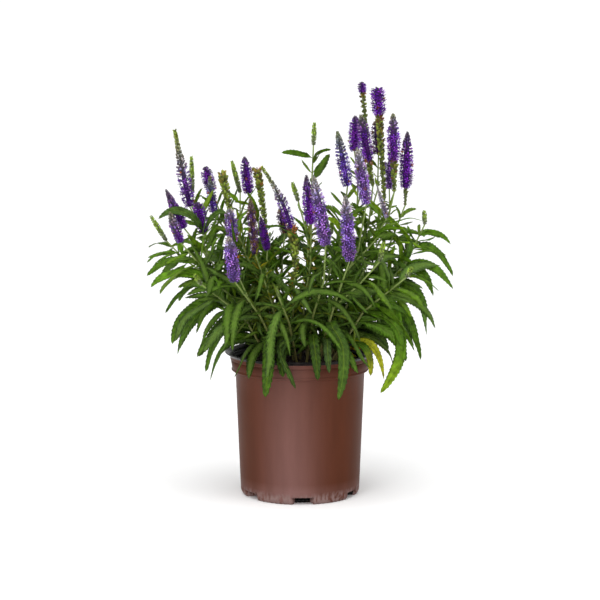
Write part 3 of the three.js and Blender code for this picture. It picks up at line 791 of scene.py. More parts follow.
@dataclass(frozen=True)
class Blade:
    """Leaf: its green runs young to old, with a pale midrib, side veins, a grey-green underside and painted
    sheen.

    The look's first value is the leaf's age, from 0 young through 0.3 full to 1 withered. Its second is the
    tone, its third is 1 on the underside, and its fourth tells how far a painted grey sheen covers the leaf.
    The map runs across the leaf and along it.
    """

    young: Colour = linear(124, 152, 26)
    full: Colour = linear(76, 112, 14)
    deep: Colour = linear(56, 88, 11)
    yellow: Colour = linear(164, 158, 28)
    withered: Colour = linear(140, 76, 22)
    rib: Colour = linear(134, 162, 58)
    under: Colour = linear(90, 114, 46)
    # The grey-green of the painted sheen that some leaves carry.
    greyed: Colour = linear(76, 98, 54)
    veins: float = 15
    slant: float = 0.11
    specular: float = 0.12

    def build(self) -> Material:
        """Makes the material."""
        n = Nodes("leaf_blade")
        look = n.look()
        age, tone, below = n.apart(look["Color"])
        stops = [(0, self.young), (0.2, self.full), (0.42, self.deep), (0.7, self.yellow), (1, self.withered)]
        # The look's fourth value mixes in the painted grey sheen.
        colour = n.mix(look["Alpha"], n.ramp(age, stops), self.greyed)
        mottle = n.noise(170, 7)
        colour = n.lit(colour, n.times(n.times(tone, 0.88, 0.38), n.times(mottle, 3.6, -0.45)))
        across, along, _ = n.apart(n.place("UV"))
        out = n.times(n.math("ABSOLUTE", n.math("SUBTRACT", across, 0.5)), 2.0)
        wave = n.math("SINE", n.times(n.times(out, -self.slant, along), self.veins * 2 * pi))
        side_vein = n.math("POWER", n.times(wave, 0.5, 0.5), 10.0)
        midrib = n.math("POWER", n.math("SUBTRACT", 1.0, out), 18.0)
        veins = n.math("MAXIMUM", midrib, n.times(side_vein, 0.16))
        colour = n.mix(n.times(veins, 0.5), colour, self.rib)
        fresh = n.math("LESS_THAN", age, 0.6)
        colour = n.mix(n.times(n.times(below, 0.55), fresh), colour, self.under)
        n.bump(n.math("SUBTRACT", n.times(wave, -0.12, n.times(mottle, 2.4)), veins), 0.9, 0.001)
        return n.finish(colour, n.times(below, 0.2, 0.5), self.specular)


@dataclass(frozen=True)
class Tinted:
    """A living surface that takes its colour from the look of each point, mottled and finely bumped."""

    name: str
    roughness: float = 0.6
    mottle: float = 0.35
    scale: float = 900
    relief: float = 0.0002
    specular: float = 0.3

    def build(self) -> Material:
        """Makes the material."""
        n = Nodes(self.name)
        noise = n.noise(self.scale)
        n.bump(noise, 0.4, self.relief)
        light = n.times(noise, 2 * self.mottle, 1 - self.mottle)
        return n.finish(n.lit(n.look()["Color"], light), self.roughness, self.specular)


# Leaves


@dataclass(frozen=True)
class Spine:
    """A leaf's midline: points, sideways directions and headings from its root to its tip."""

    points: tuple[Vector, ...]
    sides: tuple[Vector, ...]
    alongs: tuple[Vector, ...]

    def at(self, t: float) -> tuple[Vector, Vector, Vector]:
        """Point, sideways direction and normal at a share of the length."""
        k = min(len(self.points) - 2, int(t * (len(self.points) - 1)))
        f = t * (len(self.points) - 1) - k
        side = self.sides[k].lerp(self.sides[k + 1], f).normalized()
        along = self.alongs[k].lerp(self.alongs[k + 1], f).normalized()
        return self.points[k].lerp(self.points[k + 1], f), side, side.cross(along).normalized()


@dataclass(frozen=True)
class LeafRule:
    """How leaves grow and what they measure, as in the frame."""

    long: float = 92
    short: float = 34
    lowest: float = 215
    highest: float = 345
    slim: float = 0.084
    root: float = 0.6
    steps: int = 24
    droop: float = 2
    sag: float = 1.6
    size: tuple[float, float] = (0.74, 1.1)
    open: tuple[float, float] = (28, 52)
    weight: tuple[float, float] = (0.8, 1.25)
    twist: tuple[float, float] = (-0.9, 0.9)
    curl: tuple[float, float] = (-0.5, 0.5)
    tries: tuple[Spot, ...] = (
        (0, 1, 1), (16, 1, 1), (-16, 1, 1), (32, 0.8, 1), (-32, 0.8, 1), (8, 0.55, 0.92), (-24, 1.2, 0.85),
    )

    def height(self, z: float) -> float:
        """How high a place lies among the leaves: 0 where the lowest grow, 1 where the highest do."""
        return min(1, max(0, (z - self.lowest) / (self.highest - self.lowest)))

    def length_at(self, z: float) -> float:
        """Length of a leaf that grows at a height."""
        return self.long + (self.short - self.long) * self.height(z)

    def spine(
        self,
        root: Vector,
        outward: Vector,
        across: Vector,
        length: float,
        droop: float,
        twist: float,
        curl: float,
    ) -> Spine:
        """The midline of a leaf that its own weight turns down.

        Args:
            root: Where it grows.
            outward: Direction in which it leaves the stem.
            across: Direction of its width.
            length: Its length.
            droop: How strongly it turns down.
            twist: How far it turns about itself, in radians.
            curl: How far it bends sideways.

        Returns:
            The midline.
        """
        along, side, point = outward.copy(), across.copy(), root.copy()
        points, sides, alongs = [point.copy()], [side.copy()], [along.copy()]
        for _ in range(self.steps):
            along.z -= droop / self.steps
            along = (along + side * (curl / self.steps)).normalized()
            side = (side - along * side.dot(along)).normalized()
            side = Quaternion(along, twist / self.steps) @ side
            point = point + along * (length / self.steps)
            points.append(point.copy())
            sides.append(side.copy())
            alongs.append(along.copy())
        return Spine(tuple(points), tuple(sides), tuple(alongs))

    def arch(self, arch: Bezier, roll: float) -> Spine:
        """The midline of an aimed leaf.

        Args:
            arch: The curve it follows.
            roll: How far it is rolled about itself, in radians.

        Returns:
            The midline.
        """
        root, over, tip = arch.points
        flat = (tip - over).cross(over - root).normalized()
        shares = [k / self.steps for k in range(self.steps + 1)]
        alongs = tuple(arch.along(t) for t in shares)
        sides = tuple(Quaternion(a, roll) @ flat for a in alongs)
        return Spine(tuple(arch.at(t) for t in shares), sides, alongs)

    def tried(self, root: Vector, along: Vector, bearing: float, draws: Draws, shrink: float = 1) -> list:
        """The leaves that a place on a stem may have, the first choice first.

        Args:
            root: The place.
            along: The stem's direction there.
            bearing: The bearing about it at which the leaf grows.
            draws: Source of its size and bend.
            shrink: Share of the usual length.

        Returns:
            Midline and length of each.
        """
        size = self.length_at(root.z) * draws.between(*self.size) * shrink
        rise = radians(draws.between(*self.open))
        weight = draws.between(*self.weight) * self.droop
        twist = draws.between(*self.twist)
        curl = draws.between(*self.curl)
        made = []
        for turn, sag, share in self.tries:
            out = out_from(along, bearing + radians(turn))
            across = along.cross(out)
            outward = out * cos(rise) + along * sin(rise)
            length = size * share
            droop = weight * sag * (length / self.long) ** self.sag
            made.append((self.spine(root, outward, across, length, droop, twist, curl), length))
        return made


RULE = LeafRule()


@dataclass(frozen=True)
class LeafBlade:
    """The fine mesh of a leaf: toothed edges, a fold along the midrib and a thin closed section."""

    spine: Spine
    length: float
    age: float
    tone: float
    widen: float = 1
    fold: float = 0.2
    bend: float = 0
    roll: float = 0
    face: float = 0
    ageing: float = 0
    phase: float = 0
    hook: float = 0
    sway: float = 0
    blunt: float = 0.3
    # Share of a painted grey sheen on the leaf.
    grey: float = 0
    thick: float = 0.5
    tooth: float = 0.15
    wave: float = 0.2
    pitch: float = 4.6

    def width(self, s: float) -> float:
        """Half the blade's width at a share of its length."""
        off = abs(2 * s**0.86 - 1)
        blade = (1 - off ** (2 + 1.2 * self.blunt)) ** (0.84 - 0.3 * self.blunt) if 0 < s < 1 else 0
        stalk = RULE.root * (1.1 - s) if s < 0.12 else 0
        return max(self.length * RULE.slim * self.widen * blade * min(1, (s / 0.16) ** 1.2), stalk, 0.1)

    def add_to(self, pieces: Pieces, finish: int) -> None:
        """Adds the blade to a mesh.

        Args:
            pieces: The mesh.
            finish: Index of the leaf's material in it.
        """
        across = (-1, -0.55, 0, 0.55, 1)
        ring = len(across) + 1
        rows = 2 * max(4, round(self.length / self.pitch)) + 2
        points, uv, look = [], [], []
        step = self.length / rows
        for k in range(rows + 1):
            s = k / rows
            centre, side, normal = self.spine.at(s)
            along = normal.cross(side)
            turn = self.face * min(1, s / 0.3) + self.roll * s * sin(3.5 * s + self.phase)
            turned = Quaternion(along, turn)
            side, normal = turned @ side, turned @ normal
            centre = centre + normal * self.bend * sin(pi * s) * sin(5 * s + self.phase)
            centre = centre + side * self.hook * max(0, s - 0.4) ** 2
            centre = centre + Vector((self.sway * sin(pi * max(0, s - 0.3) / 0.7), 0, 0))
            half = self.width(s)
            toothed = 0.12 < s < 0.96
            jag = 1 - self.tooth if toothed and k % 2 else 1
            lean = 0.6 * step if toothed and k % 2 == 0 else 0
            ripple = self.wave * half * sin(11 * s + self.phase)
            age = self.age + self.ageing * max(0, s - 0.45) / 0.55
            for u in across:
                edge = abs(u) == 1
                w = half * u * (jag if edge else 1)
                sway = ripple * u * u * (1 if u > 0 else cos(7 * s + self.phase))
                lift = self.fold * half * (abs(u) ** 1.2 - 0.6 * abs(u) ** 4) + sway
                points.append(centre + side * w + normal * lift + along * (lean if edge else 0))
                uv.append((0.5 + u / 2, s))
                look.append((age, self.tone, 0, self.grey))
            points.append(points[k * ring + 2] - normal * self.thick * min(1, half / 1.2 + 0.4))
            uv.append((0.5, s))
            look.append((age, self.tone, 1, self.grey))
        cap = ((0, 5, 1), (1, 5, 2), (2, 5, 3), (3, 5, 4))
        top = rows * ring
        ends = [*cap, *((top + a, top + c, top + b) for a, b, c in cap)]
        quads = ring_quads(rows, ring)
        pieces.add(np.array(points), quads, finish, np.array(look), np.array(uv), np.array(ends))


# Florets


@dataclass(frozen=True)
class Stand:
    """Where copies of a template stand: the turn, place and size of each, and its two colours."""

    frames: Array
    origins: Array
    scales: Array
    main: Array
    second: Array


@dataclass(frozen=True)
class Template:
    """A small mesh that is placed many times: its axis points out along +Z, and +Y is up the spike."""

    points: Array
    faces: Array
    tints: Array

    def placed(self, pieces: Pieces, finish: int, stand: Stand) -> None:
        """Adds copies to a mesh.

        Args:
            pieces: The mesh.
            finish: Index of their material in it.
            stand: Where they stand.
        """
        n, m = len(stand.origins), len(self.points)
        if not n:
            return
        turned = np.einsum("nij,mj->nmi", stand.frames, self.points) * stand.scales[:, None, None]
        points = (turned + stand.origins[:, None, :]).reshape(-1, 3)
        faces = (self.faces[None, :, :] + (np.arange(n) * m)[:, None, None]).reshape(-1, self.faces.shape[1])
        share = self.tints[None, :, 1:2]
        colour = stand.main[:, None, :] * (1 - share) + stand.second[:, None, :] * share
        colour = colour * self.tints[None, :, 0:1]
        look = np.concatenate([colour, np.ones((n, m, 1))], axis=2).reshape(-1, 4)
        pieces.add(points, faces, finish, look)


def spun(x: float, y: float, z: float, turn: float) -> Spot:
    """A point turned about the vertical."""
    return (x * cos(turn) - y * sin(turn), x * sin(turn) + y * cos(turn), z)


class TemplateMaker:
    """Builds templates from petals, tubes and knobs."""

    def __init__(self) -> None:
        """Starts empty."""
        self.points: list[tuple] = []
        self.faces: list[tuple] = []
        self.tints: list[tuple] = []

    def tube(self, stops: list[tuple], radii: list[float], sides: int, bright: float, second: float) -> None:
        """Adds a thin closed tube through points."""
        points, faces = tube([Vector(s) for s in stops], radii, sides)
        self.faces += (faces + len(self.points)).tolist()
        self.points += [tuple(p) for p in points]
        self.tints += [(bright, second)] * len(points)

    def spindle(self, low: Spot, waist: list, high: Spot, bright: list[float], second: float) -> None:
        """Adds a closed shape that swells from a point through rings of one count to another point.

        Args:
            low: Its first point.
            waist: Its rings, each a list of points in turn.
            high: Its last point.
            bright: Brightness of the first point, of each ring and of the last point.
            second: Share of the second colour.
        """
        start, n = len(self.points), len(waist[0])
        self.points.append(low)
        self.tints.append((bright[0], second))
        for ring, light in zip(waist, bright[1:]):
            self.points += ring
            self.tints += [(light, second)] * n
        self.points.append(high)
        self.tints.append((bright[-1], second))
        last = len(self.points) - 1
        for i in range(n):
            j = (i + 1) % n
            self.faces.append((start, start + 1 + j, start + 1 + i))
            self.faces.append((last, last - n + i, last - n + j))
            for k in range(len(waist) - 1):
                a, b = start + 1 + k * n + i, start + 1 + k * n + j
                self.faces += [(a, b, b + n), (a, b + n, a + n)]

    def petal(self, turn: float, reach: float, width: float, spread: float, mouth: float) -> None:
        """Adds a petal that leaves the tube's mouth and spreads outwards.

        Args:
            turn: Its bearing about the floret's axis.
            reach: Its length.
            width: Its greatest width.
            spread: How far it opens, from 0 closed to 1 flat.
            mouth: Height of the tube's mouth.
        """
        tilt = radians(85 * spread)
        thick = 0.16

        def place(share: float, side: float, lift: float) -> tuple:
            """A point of the petal, from its share of the length and its place across."""
            bend = tilt * (0.55 + 0.45 * share)
            x = 0.4 + reach * share * sin(bend) - lift * cos(bend)
            z = mouth + reach * share * cos(bend) + lift * sin(bend)
            y = side * width / 2
            return spun(x, y, z, turn)

        rings = []
        for share, wide, cup in ((0.4, 0.8, 0.05), (0.78, 0.85, 0.22)):
            spots = ((-wide, cup * width), (0, -thick), (wide, cup * width), (0, thick))
            rings.append([place(share, side, lift) for side, lift in spots])
        # Brightness runs from 0.45 at the petal's base to 1.65 at its tip: painted shade in the floret's
        # throat and painted highlights at the tips.
        self.spindle(place(0, 0, 0), rings, place(1, 0, 0.1 * width), [0.45, 0.8, 1.25, 1.65], 0)

    def sepal(self, turn: float, root: float, high: float, bright: float, second: float) -> None:
        """Adds a pointed sepal that hugs the floret's base."""
        middle = high * 0.45
        spots = ((root + 0.1, -0.42), (root - 0.05, 0), (root + 0.1, 0.42), (root + 0.4, 0))
        ring = [spun(x, y, middle, turn) for x, y in spots]
        low, tip = spun(root * 0.4, 0, -0.4, turn), spun(root + 0.35, 0, high, turn)
        self.spindle(low, [ring], tip, [bright * 0.8, bright, bright * 1.15], second)

    def stamen(self, side: float, lift: float, reach: float) -> None:
        """Adds a stamen that stands out of the floret, with its anther."""
        x, wide = side * 1.25, 0.26
        self.tube([(side * 0.3, lift * 0.3, 1.2), (x, lift, reach)], [0.12, 0.09], 3, 1.2, 0)
        spots = ((wide, 0), (0, wide), (-wide, 0), (0, -wide))
        ring = [(x + out, lift + up, reach) for out, up in spots]
        self.spindle((x, lift, reach - 0.35), [ring], (x, lift, reach + 0.4), [0.7, 0.7, 0.7], 0)

    def template(self) -> Template:
        """The finished template."""
        return Template(np.array(self.points), np.array(self.faces), np.array(self.tints))


class Stage(Enum):
    """How far a floret has come. A seed capsule has the form of a tight bud.

    Each has its length, the spike's radius at which it is of full size, and its least and its greatest size.
    """

    TIGHT = (2.6, 4.2, 0.3, 1.0)
    SWOLLEN = (3.2, 5.2, 0.4, 1.3)
    OPENING = (4.3, 8.4, 0.5, 1.1)
    OPEN = (4.2, 8.4, 0.5, 1.1)
    FADED = (3.4, 8.4, 0.5, 1.1)


def floret_template(stage: Stage) -> Template:
    """Makes the template of a floret at one stage.

    Args:
        stage: The stage.

    Returns:
        The template, whose second colour is that of its green or dry parts.
    """
    make = TemplateMaker()
    turns = [k * pi / 2 for k in range(4)]
    if stage is Stage.TIGHT:
        make.tube([(0, 0, -0.5), (0, 0, 0.7), (0, 0.1, 1.8), (0, 0.3, 2.5)], [0.55, 1.0, 0.8, 0.2], 5, 1, 0)
        make.sepal(-pi / 2, 0.75, 1.6, 0.9, 0.8)
    elif stage is Stage.SWOLLEN:
        make.tube([(0, 0, -0.2), (0, 0, 1.1), (0, 0.1, 2.3), (0, 0.2, 3.1)], [0.5, 0.7, 1.0, 0.2], 6, 1, 0)
        for turn in turns[1::2]:
            make.sepal(turn, 0.6, 1.5, 0.85, 1)
    elif stage in (Stage.OPENING, Stage.OPEN):
        spread = 0.45 if stage is Stage.OPENING else 0.95
        make.tube([(0, 0, -0.6), (0, 0, 1.3)], [0.5, 0.6], 5, 0.5, 0.2)
        for k, turn in enumerate(turns):
            make.petal(turn, 2.9, 1.7 if k == 1 else 1.3, spread * (1 if k % 2 else 0.85), 1.2)
        for turn in turns[1::2]:
            make.sepal(turn, 0.6, 1.2, 0.7, 1)
        make.stamen(-0.6, 0.5, 4.3)
        if stage is Stage.OPEN:
            make.stamen(0.65, 0.3, 3.9)
    else:
        make.tube([(0, 0, -0.5), (0, 0, 1.0)], [0.6, 0.85], 5, 0.8, 1)
        for k, turn in enumerate(turns):
            make.petal(turn + 0.4, 2.3, 0.9, 0.3 + 0.25 * (k % 2), 0.8)
        make.tube([(0, 0, 0.8), (0.6, -0.7, 3.2)], [0.11, 0.07], 3, 0.8, 0)
    return make.template()


@dataclass(frozen=True)
class SpikeLayout:
    """Where florets stand on a stretch of spike: rows up the axis, each turned against the one below."""

    curve: Bezier
    low: float
    high: float
    seed: int
    in_row: int = 8
    pitch: float = 0.38
    least: float = 1.15
    jitter: float = 0.9

    def places(self, reach: Callable[[Array | float], Array | float]) -> tuple[Array, Array, Array]:
        """Works out the rows, which stand closer where the spike is thin.

        Args:
            reach: The spike's radius at a share of the stretch.

        Returns:
            The share of the stretch and the bearing of every floret, and six draws for each.
        """
        rng = np.random.default_rng(self.seed)
        length = self.curve.length() * (self.high - self.low)
        share, row, shares, bearings = 0.0, 0, [], []
        while share < 1:
            rise = max(self.least, self.pitch * float(reach(share))) / length
            for i in range(self.in_row):
                shares.append(share + rng.uniform(0, self.jitter) * rise)
                turn = (i + 0.5 * (row % 2) + rng.uniform(-0.25, 0.25)) / self.in_row
                bearings.append(turn * 2 * pi + 0.35 * row)
            share += rise
            row += 1
        inside = np.array(shares) < 1
        return np.array(shares)[inside], np.array(bearings)[inside], rng.uniform(0, 1, (inside.sum(), 6))

    def stand(
        self,
        shares: Array,
        bearings: Array,
        rise: Array,
        spins: Array,
        base: Array,
    ) -> tuple[Array, Array]:
        """Works out how florets stand.

        Args:
            shares: Share of the stretch at which each stands.
            bearings: Bearing of each about the spike.
            rise: How far each points up, in radians.
            spins: How far each is turned about itself.
            base: How far each stands from the spike's axis.

        Returns:
            The turn and the place of each.
        """
        frames, origins = [], []
        for share, bearing, up, spin, off in zip(shares, bearings, rise, spins, base):
            t = self.low + (self.high - self.low) * share
            along = self.curve.along(t)
            out = out_from(along, bearing)
            z = (out * cos(up) + along * sin(up)).normalized()
            x = along.cross(out).normalized()
            y = z.cross(x)
            x, y = x * cos(spin) + y * sin(spin), y * cos(spin) - x * sin(spin)
            frames.append(np.array((x, y, z)).T)
            origins.append(np.array(self.curve.at(t)) + np.array(out) * off)
        return np.array(frames), np.array(origins)


def blend(a: Array | Colour, b: Array | Colour, share: Array) -> Array:
    """Mixes colours, or rows of them, by a share for each row that is held between 0 and 1."""
    held = np.clip(share, 0, 1)[:, None]
    return np.asarray(a) * (1 - held) + np.asarray(b) * held


@dataclass
class FloretSet:
    """The floret templates, made once, and the colours that all spikes share."""

    templates: dict[Stage, Template] = field(default_factory=lambda: {s: floret_template(s) for s in Stage})
    olive: Colour = linear(93, 108, 36)
    brown: Colour = linear(122, 90, 40)
    rust: Colour = linear(150, 84, 38)
    faded: Colour = linear(122, 88, 56)
    calyx: Colour = linear(82, 90, 52)
    young: Colour = linear(136, 164, 52)
    greyed: Colour = linear(112, 120, 92)
    bud_girth: float = 3.1
    limits: tuple = ((0.07, Stage.OPEN), (0.24, Stage.OPENING), (0.55, Stage.SWOLLEN), (9, Stage.TIGHT))

    def core(self, pieces: Pieces, curve: Bezier, span: tuple, radii: list[float], colours: list) -> None:
        """Adds the core that florets stand out of, in colours that paint the shade deep in the spike.

        Args:
            pieces: The mesh.
            curve: The spike's curve.
            span: Shares of the curve at which the core starts and ends.
            radii: Its radius at even steps.
            colours: Its colour at each.
        """
        last, sides = len(radii) - 1, 7
        stops = [curve.at(span[0] + (span[1] - span[0]) * k / last) for k in range(last + 1)]
        look = [(*colours[k], 1) for k in range(last + 1) for _ in range(sides)]
        look += [(*colours[0], 1), (*colours[-1], 1)]
        pieces.add_tube(stops, radii, sides, 0, np.array(look))

    def bloom(self, pieces: Pieces, axis: Axis, curve: Bezier, low: float, seed: int) -> None:
        """Adds the coloured stretch of a spike.

        Args:
            pieces: The mesh.
            axis: The axis whose spike it is.
            curve: The spike's curve.
            low: Share of the curve at which the stretch starts.
            seed: Seed of its jitter.
        """
        whorled, green = axis.hue is Hue.SLATE, axis.hue is Hue.GREEN
        slim = axis.girth < 5 or green
        in_row = 6 if slim else 8 if axis.hue is Hue.DEEP else 7
        layout = SpikeLayout(curve, low, 1, seed, in_row, 0.42 if slim else 0.39, 2.1 if green else 1.15)
        if whorled:
            layout = SpikeLayout(curve, low, 1, seed, 11, 0.54, jitter=0.4)
        shares, bearings, chance = layout.places(axis.reach)
        narrowed = axis.ripening(shares)
        reach = axis.reach(shares)
        ripeness = narrowed + 0.16 * (chance[:, 0] - 0.5)
        main, bud, tip = (np.array(c) for c in axis.hue.value)
        past = -9.0
        for limit, stage in self.limits:
            rows = np.nonzero((ripeness >= past) & (ripeness < limit))[0]
            past = limit
            if not len(rows):
                continue
            rise = np.radians(6 + 58 * narrowed[rows] + 30 * (chance[rows, 1] - 0.5))
            r = reach[rows]
            length, full, least, most = stage.value
            if green and stage is Stage.TIGHT:
                full, least = 3.0, 0.65
            scale = np.clip(r / full, least, most) * (0.88 + 0.24 * chance[rows, 3])
            base = np.maximum(0.3 * r, r * (0.9 + 0.2 * chance[rows, 5]) - length * scale * np.cos(rise))
            spins = 1.2 * (chance[rows, 2] - 0.5)
            frames, origins = layout.stand(shares[rows], bearings[rows], rise, spins, base)
            colour = blend(blend(main, bud, narrowed[rows] * 2.6), tip, narrowed[rows] * 2 - 0.8)
            bright = (0.44 + 1.55 * chance[rows, 4] ** 2)[:, None]
            warm = (chance[rows, 5] - 0.5)[:, None] * np.array((0.35, 0.1, -0.2)) + 1
            colour = colour * bright * warm
            second = np.array(self.calyx) * (0.6 + 0.7 * chance[rows, 5])[:, None]
            dusk = axis.hue is Hue.DUSK
            spoilt = (chance[rows, 0] > (0.55 if dusk else 0.965)) & (narrowed[rows] < 0.3)
            worn = np.array(self.faded if dusk else self.rust)
            colour[spoilt] = worn * (0.3 + 0.9 * chance[rows, 4][spoilt])[:, None]
            self.templates[stage].placed(pieces, 0, Stand(frames, origins, scale, colour, second))
        steps = 14
        thick = 0.34 if whorled or green else 0.44
        radii = [max(0.5, thick * float(axis.reach(k / steps))) for k in range(steps)] + [0.3]
        shade = axis.ripening(np.arange(steps + 1) / steps)
        # The core's colour, a fifth of the florets' where they are open and half the tips' at the end, is
        # painted shade deep among the florets.
        self.core(pieces, curve, (low, 1), radii, list(blend(main * 0.22, tip * 0.5, shade)))

    def spent(self, pieces: Pieces, axis: Axis, curve: Bezier, seed: int, finish: int) -> None:
        """Adds the spent stretch of a spike: seed capsules, with faded florets towards the bloom.

        Args:
            pieces: The mesh.
            axis: The axis whose spike it is.
            curve: The spike's curve.
            seed: Seed of its jitter.
            finish: Index of the material in the mesh.
        """
        layout = SpikeLayout(curve, 0, axis.spent, seed, 5, 0.6)
        shares, bearings, chance = layout.places(lambda share: 5)
        faded = ((shares > 0.92) & (chance[:, 0] < 0.55) | (chance[:, 0] < 0.03)) & axis.rusty
        for stage, chosen in ((Stage.TIGHT, ~faded), (Stage.FADED, faded)):
            rows = np.nonzero(chosen)[0]
            if not len(rows):
                continue
            rise = np.radians(10 + 40 * chance[rows, 1])
            spins = 1.4 * (chance[rows, 2] - 0.5)
            base = (0.8 + 1.1 * shares[rows]) * axis.husk
            frames, origins = layout.stand(shares[rows], bearings[rows], rise, spins, base)
            scale = axis.husk * (1.2 + 0.75 * chance[rows, 3]) * (0.55 + 0.45 * shares[rows])
            ripe = shares[rows] * 1.6 - 1.2 + 0.8 * (chance[rows, 4] - 0.5)
            colour = blend(self.olive, self.brown, ripe)
            if stage is Stage.FADED:
                colour = np.broadcast_to(self.rust, (len(rows), 3)) * 0.8
            colour = colour * (0.3 + 1.6 * chance[rows, 5] ** 1.5)[:, None] * axis.husk
            second = np.broadcast_to(self.brown, colour.shape)
            self.templates[stage].placed(pieces, finish, Stand(frames, origins, scale, colour, second))

    def buds(self, pieces: Pieces, curve: Bezier, seed: int, finish: int, husk: float) -> None:
        """Adds a green bud spike.

        Args:
            pieces: The mesh.
            curve: The spike's curve.
            seed: Seed of its jitter.
            finish: Index of the material in the mesh.
            husk: How large and bright its buds are.
        """
        def reach(share: Array | float) -> Array | float:
            """The spike's radius at a share of its length."""
            return self.bud_girth * husk * np.sin(np.pi * (0.22 + 0.66 * share)) ** 0.7

        layout = SpikeLayout(curve, 0, 1, seed, 6, 0.62)
        shares, bearings, chance = layout.places(reach)
        r = reach(shares)
        rise = np.radians(24 + 30 * shares)
        scale = np.clip(r / 3.6, 0.35, 0.85) * (0.75 + 0.5 * chance[:, 3])
        base = np.maximum(0.2, r - 2.1 * scale * np.cos(rise))
        frames, origins = layout.stand(shares, bearings, rise, 0 * shares, base)
        colour = blend(self.greyed, self.young, shares * 2.2 - 0.3)
        colour = colour * (0.25 + 1.25 * chance[:, 4:5]) * husk
        stand = Stand(frames, origins, scale, colour, colour * 0.8)
        self.templates[Stage.TIGHT].placed(pieces, finish, stand)


# The plant


class Crowd:
    """Where the spikes stand, so that further leaves neither pierce them nor hang before them."""

    before: float = 8
    clear: float = 3
    slimmest: float = 4
    hidden: float = 40
    steps: int = 12

    def __init__(self, spikes: list[tuple[Bezier, Axis]]) -> None:
        """Notes points along the curve of every spike, with its axis."""
        shares = [k / self.steps for k in range(self.steps + 1)]
        self.points = [(curve.at(t), axis) for curve, axis in spikes for t in shares]
        self.flat = kdtree.KDTree(len(self.points))
        self.solid = kdtree.KDTree(len(self.points))
        for k, (point, _) in enumerate(self.points):
            self.flat.insert((point.x, 0, point.z), k)
            self.solid.insert(point, k)
        self.flat.balance()
        self.solid.balance()

    def is_open(self, spine: Spine) -> bool:
        """Whether a leaf keeps clear of all spikes.

        Args:
            spine: The leaf's midline.

        Returns:
            Whether it does.
        """
        for point in spine.points[::3]:
            _, k, off = self.solid.find(point)
            if off < max(self.slimmest, self.points[k][1].girth) + self.clear:
                return False
            for _, k, _ in self.flat.find_range((point.x, 0, point.z), self.before):
                if point.y < self.points[k][0].y < self.hidden:
                    return False
        return True


@dataclass(frozen=True)
class Habit:
    """How leaves age, tone and narrow by where they stand in the clump."""

    age: float = 0.36
    age_fall: float = 0.25
    age_spread: float = 0.07
    oldest: float = 0.44
    young_age: float = 0.1
    young_width: float = 1.4
    front: float = -40
    front_tone: float = 0.62
    foremost: float = -60
    foremost_tone: float = 0.1
    straight_front: float = -104
    centre_half: float = 72
    centre_reach: tuple[float, float] = (205, 310)
    centre_front: tuple[float, float] = (-15, -45)
    centre_width: tuple[float, float] = (0.75, 0.62)
    centre_age: tuple[float, float] = (0.3, 0.05)


@dataclass(frozen=True)
class Filling:
    """How the leaves between the pairs are turned, sized as shares of the usual length, and thinned."""

    swing: float = 0.5
    between: tuple[float, float] = (0.55, 0.95)
    axil: tuple[float, float] = (0.22, 0.42)
    odd: float = 0.75
    front: float = 0.7
    front_depth: float = -15
    front_half: float = 75
    skirt_height: float = 222
    skirt_radius: float = 96
    skirt_thinned: float = 0.72
    most: float = 1.1


@dataclass(frozen=True)
class Tufts:
    """The tiny narrow leaves that crowd the upper stem of the shoots in the middle of the clump."""

    shoots: tuple[int, ...] = (14, 15, 16, 17, 11)
    lowest: float = 0.36
    highest: float = 0.99
    pitch: float = 3.1
    turn: float = 2.4
    withered: float = 0.16
    widen: float = 1.1


@dataclass(frozen=True)
class Stray:
    """A leaf of the finished plant alone: where it leaves which axis, the curve it follows, and its look."""

    order: int
    at: float
    over: Spot
    tip: Spot
    roll: float
    age: float
    tone: float = 0.6
    # Share of a painted grey sheen on the leaf.
    grey: float = 0


STRAYS = {
    8: (
        Stray(0, 0.06, (62, -30, 186), (81, -20, 171.5), 25, 0.97, tone=0.75),
        Stray(0, 0.1, (56, -40, 184), (71, -41, 172.5), -15, 0.9, tone=0.7),
        Stray(0, 0.08, (50, -50, 178), (66, -36, 168), 40, 0.8, tone=0.5),
        Stray(0, 0.12, (90, -38, 204), (97, -46, 143), 30, 0.58, tone=0.68),
    ),
    9: (Stray(0, 0.05, (66, 4, 190), (76, -8, 168), -20, 0.95),),
    21: (
        Stray(1, 0.92, (-132, -56, 356), (-162, -44, 329), -70, 0.38, tone=0.25, grey=0.5),
        Stray(1, 0.92, (-98, -30, 346), (-84, -44, 334), 60, 0.34, tone=0.2, grey=0.3),
    ),
}
HABIT = Habit()
FILLING = Filling()
TUFTS = Tufts()
LEAFY = (0.08, 0.9)
LEAFY_SIDE = (0.3, 0.8)
STRAY_WIDTH = 0.75
BEHIND_BLOOM = 0.38
STEM_GREEN = linear(118, 136, 70)
STEM_FOOT = linear(110, 100, 56)
TIP_MATCH = 5e-5


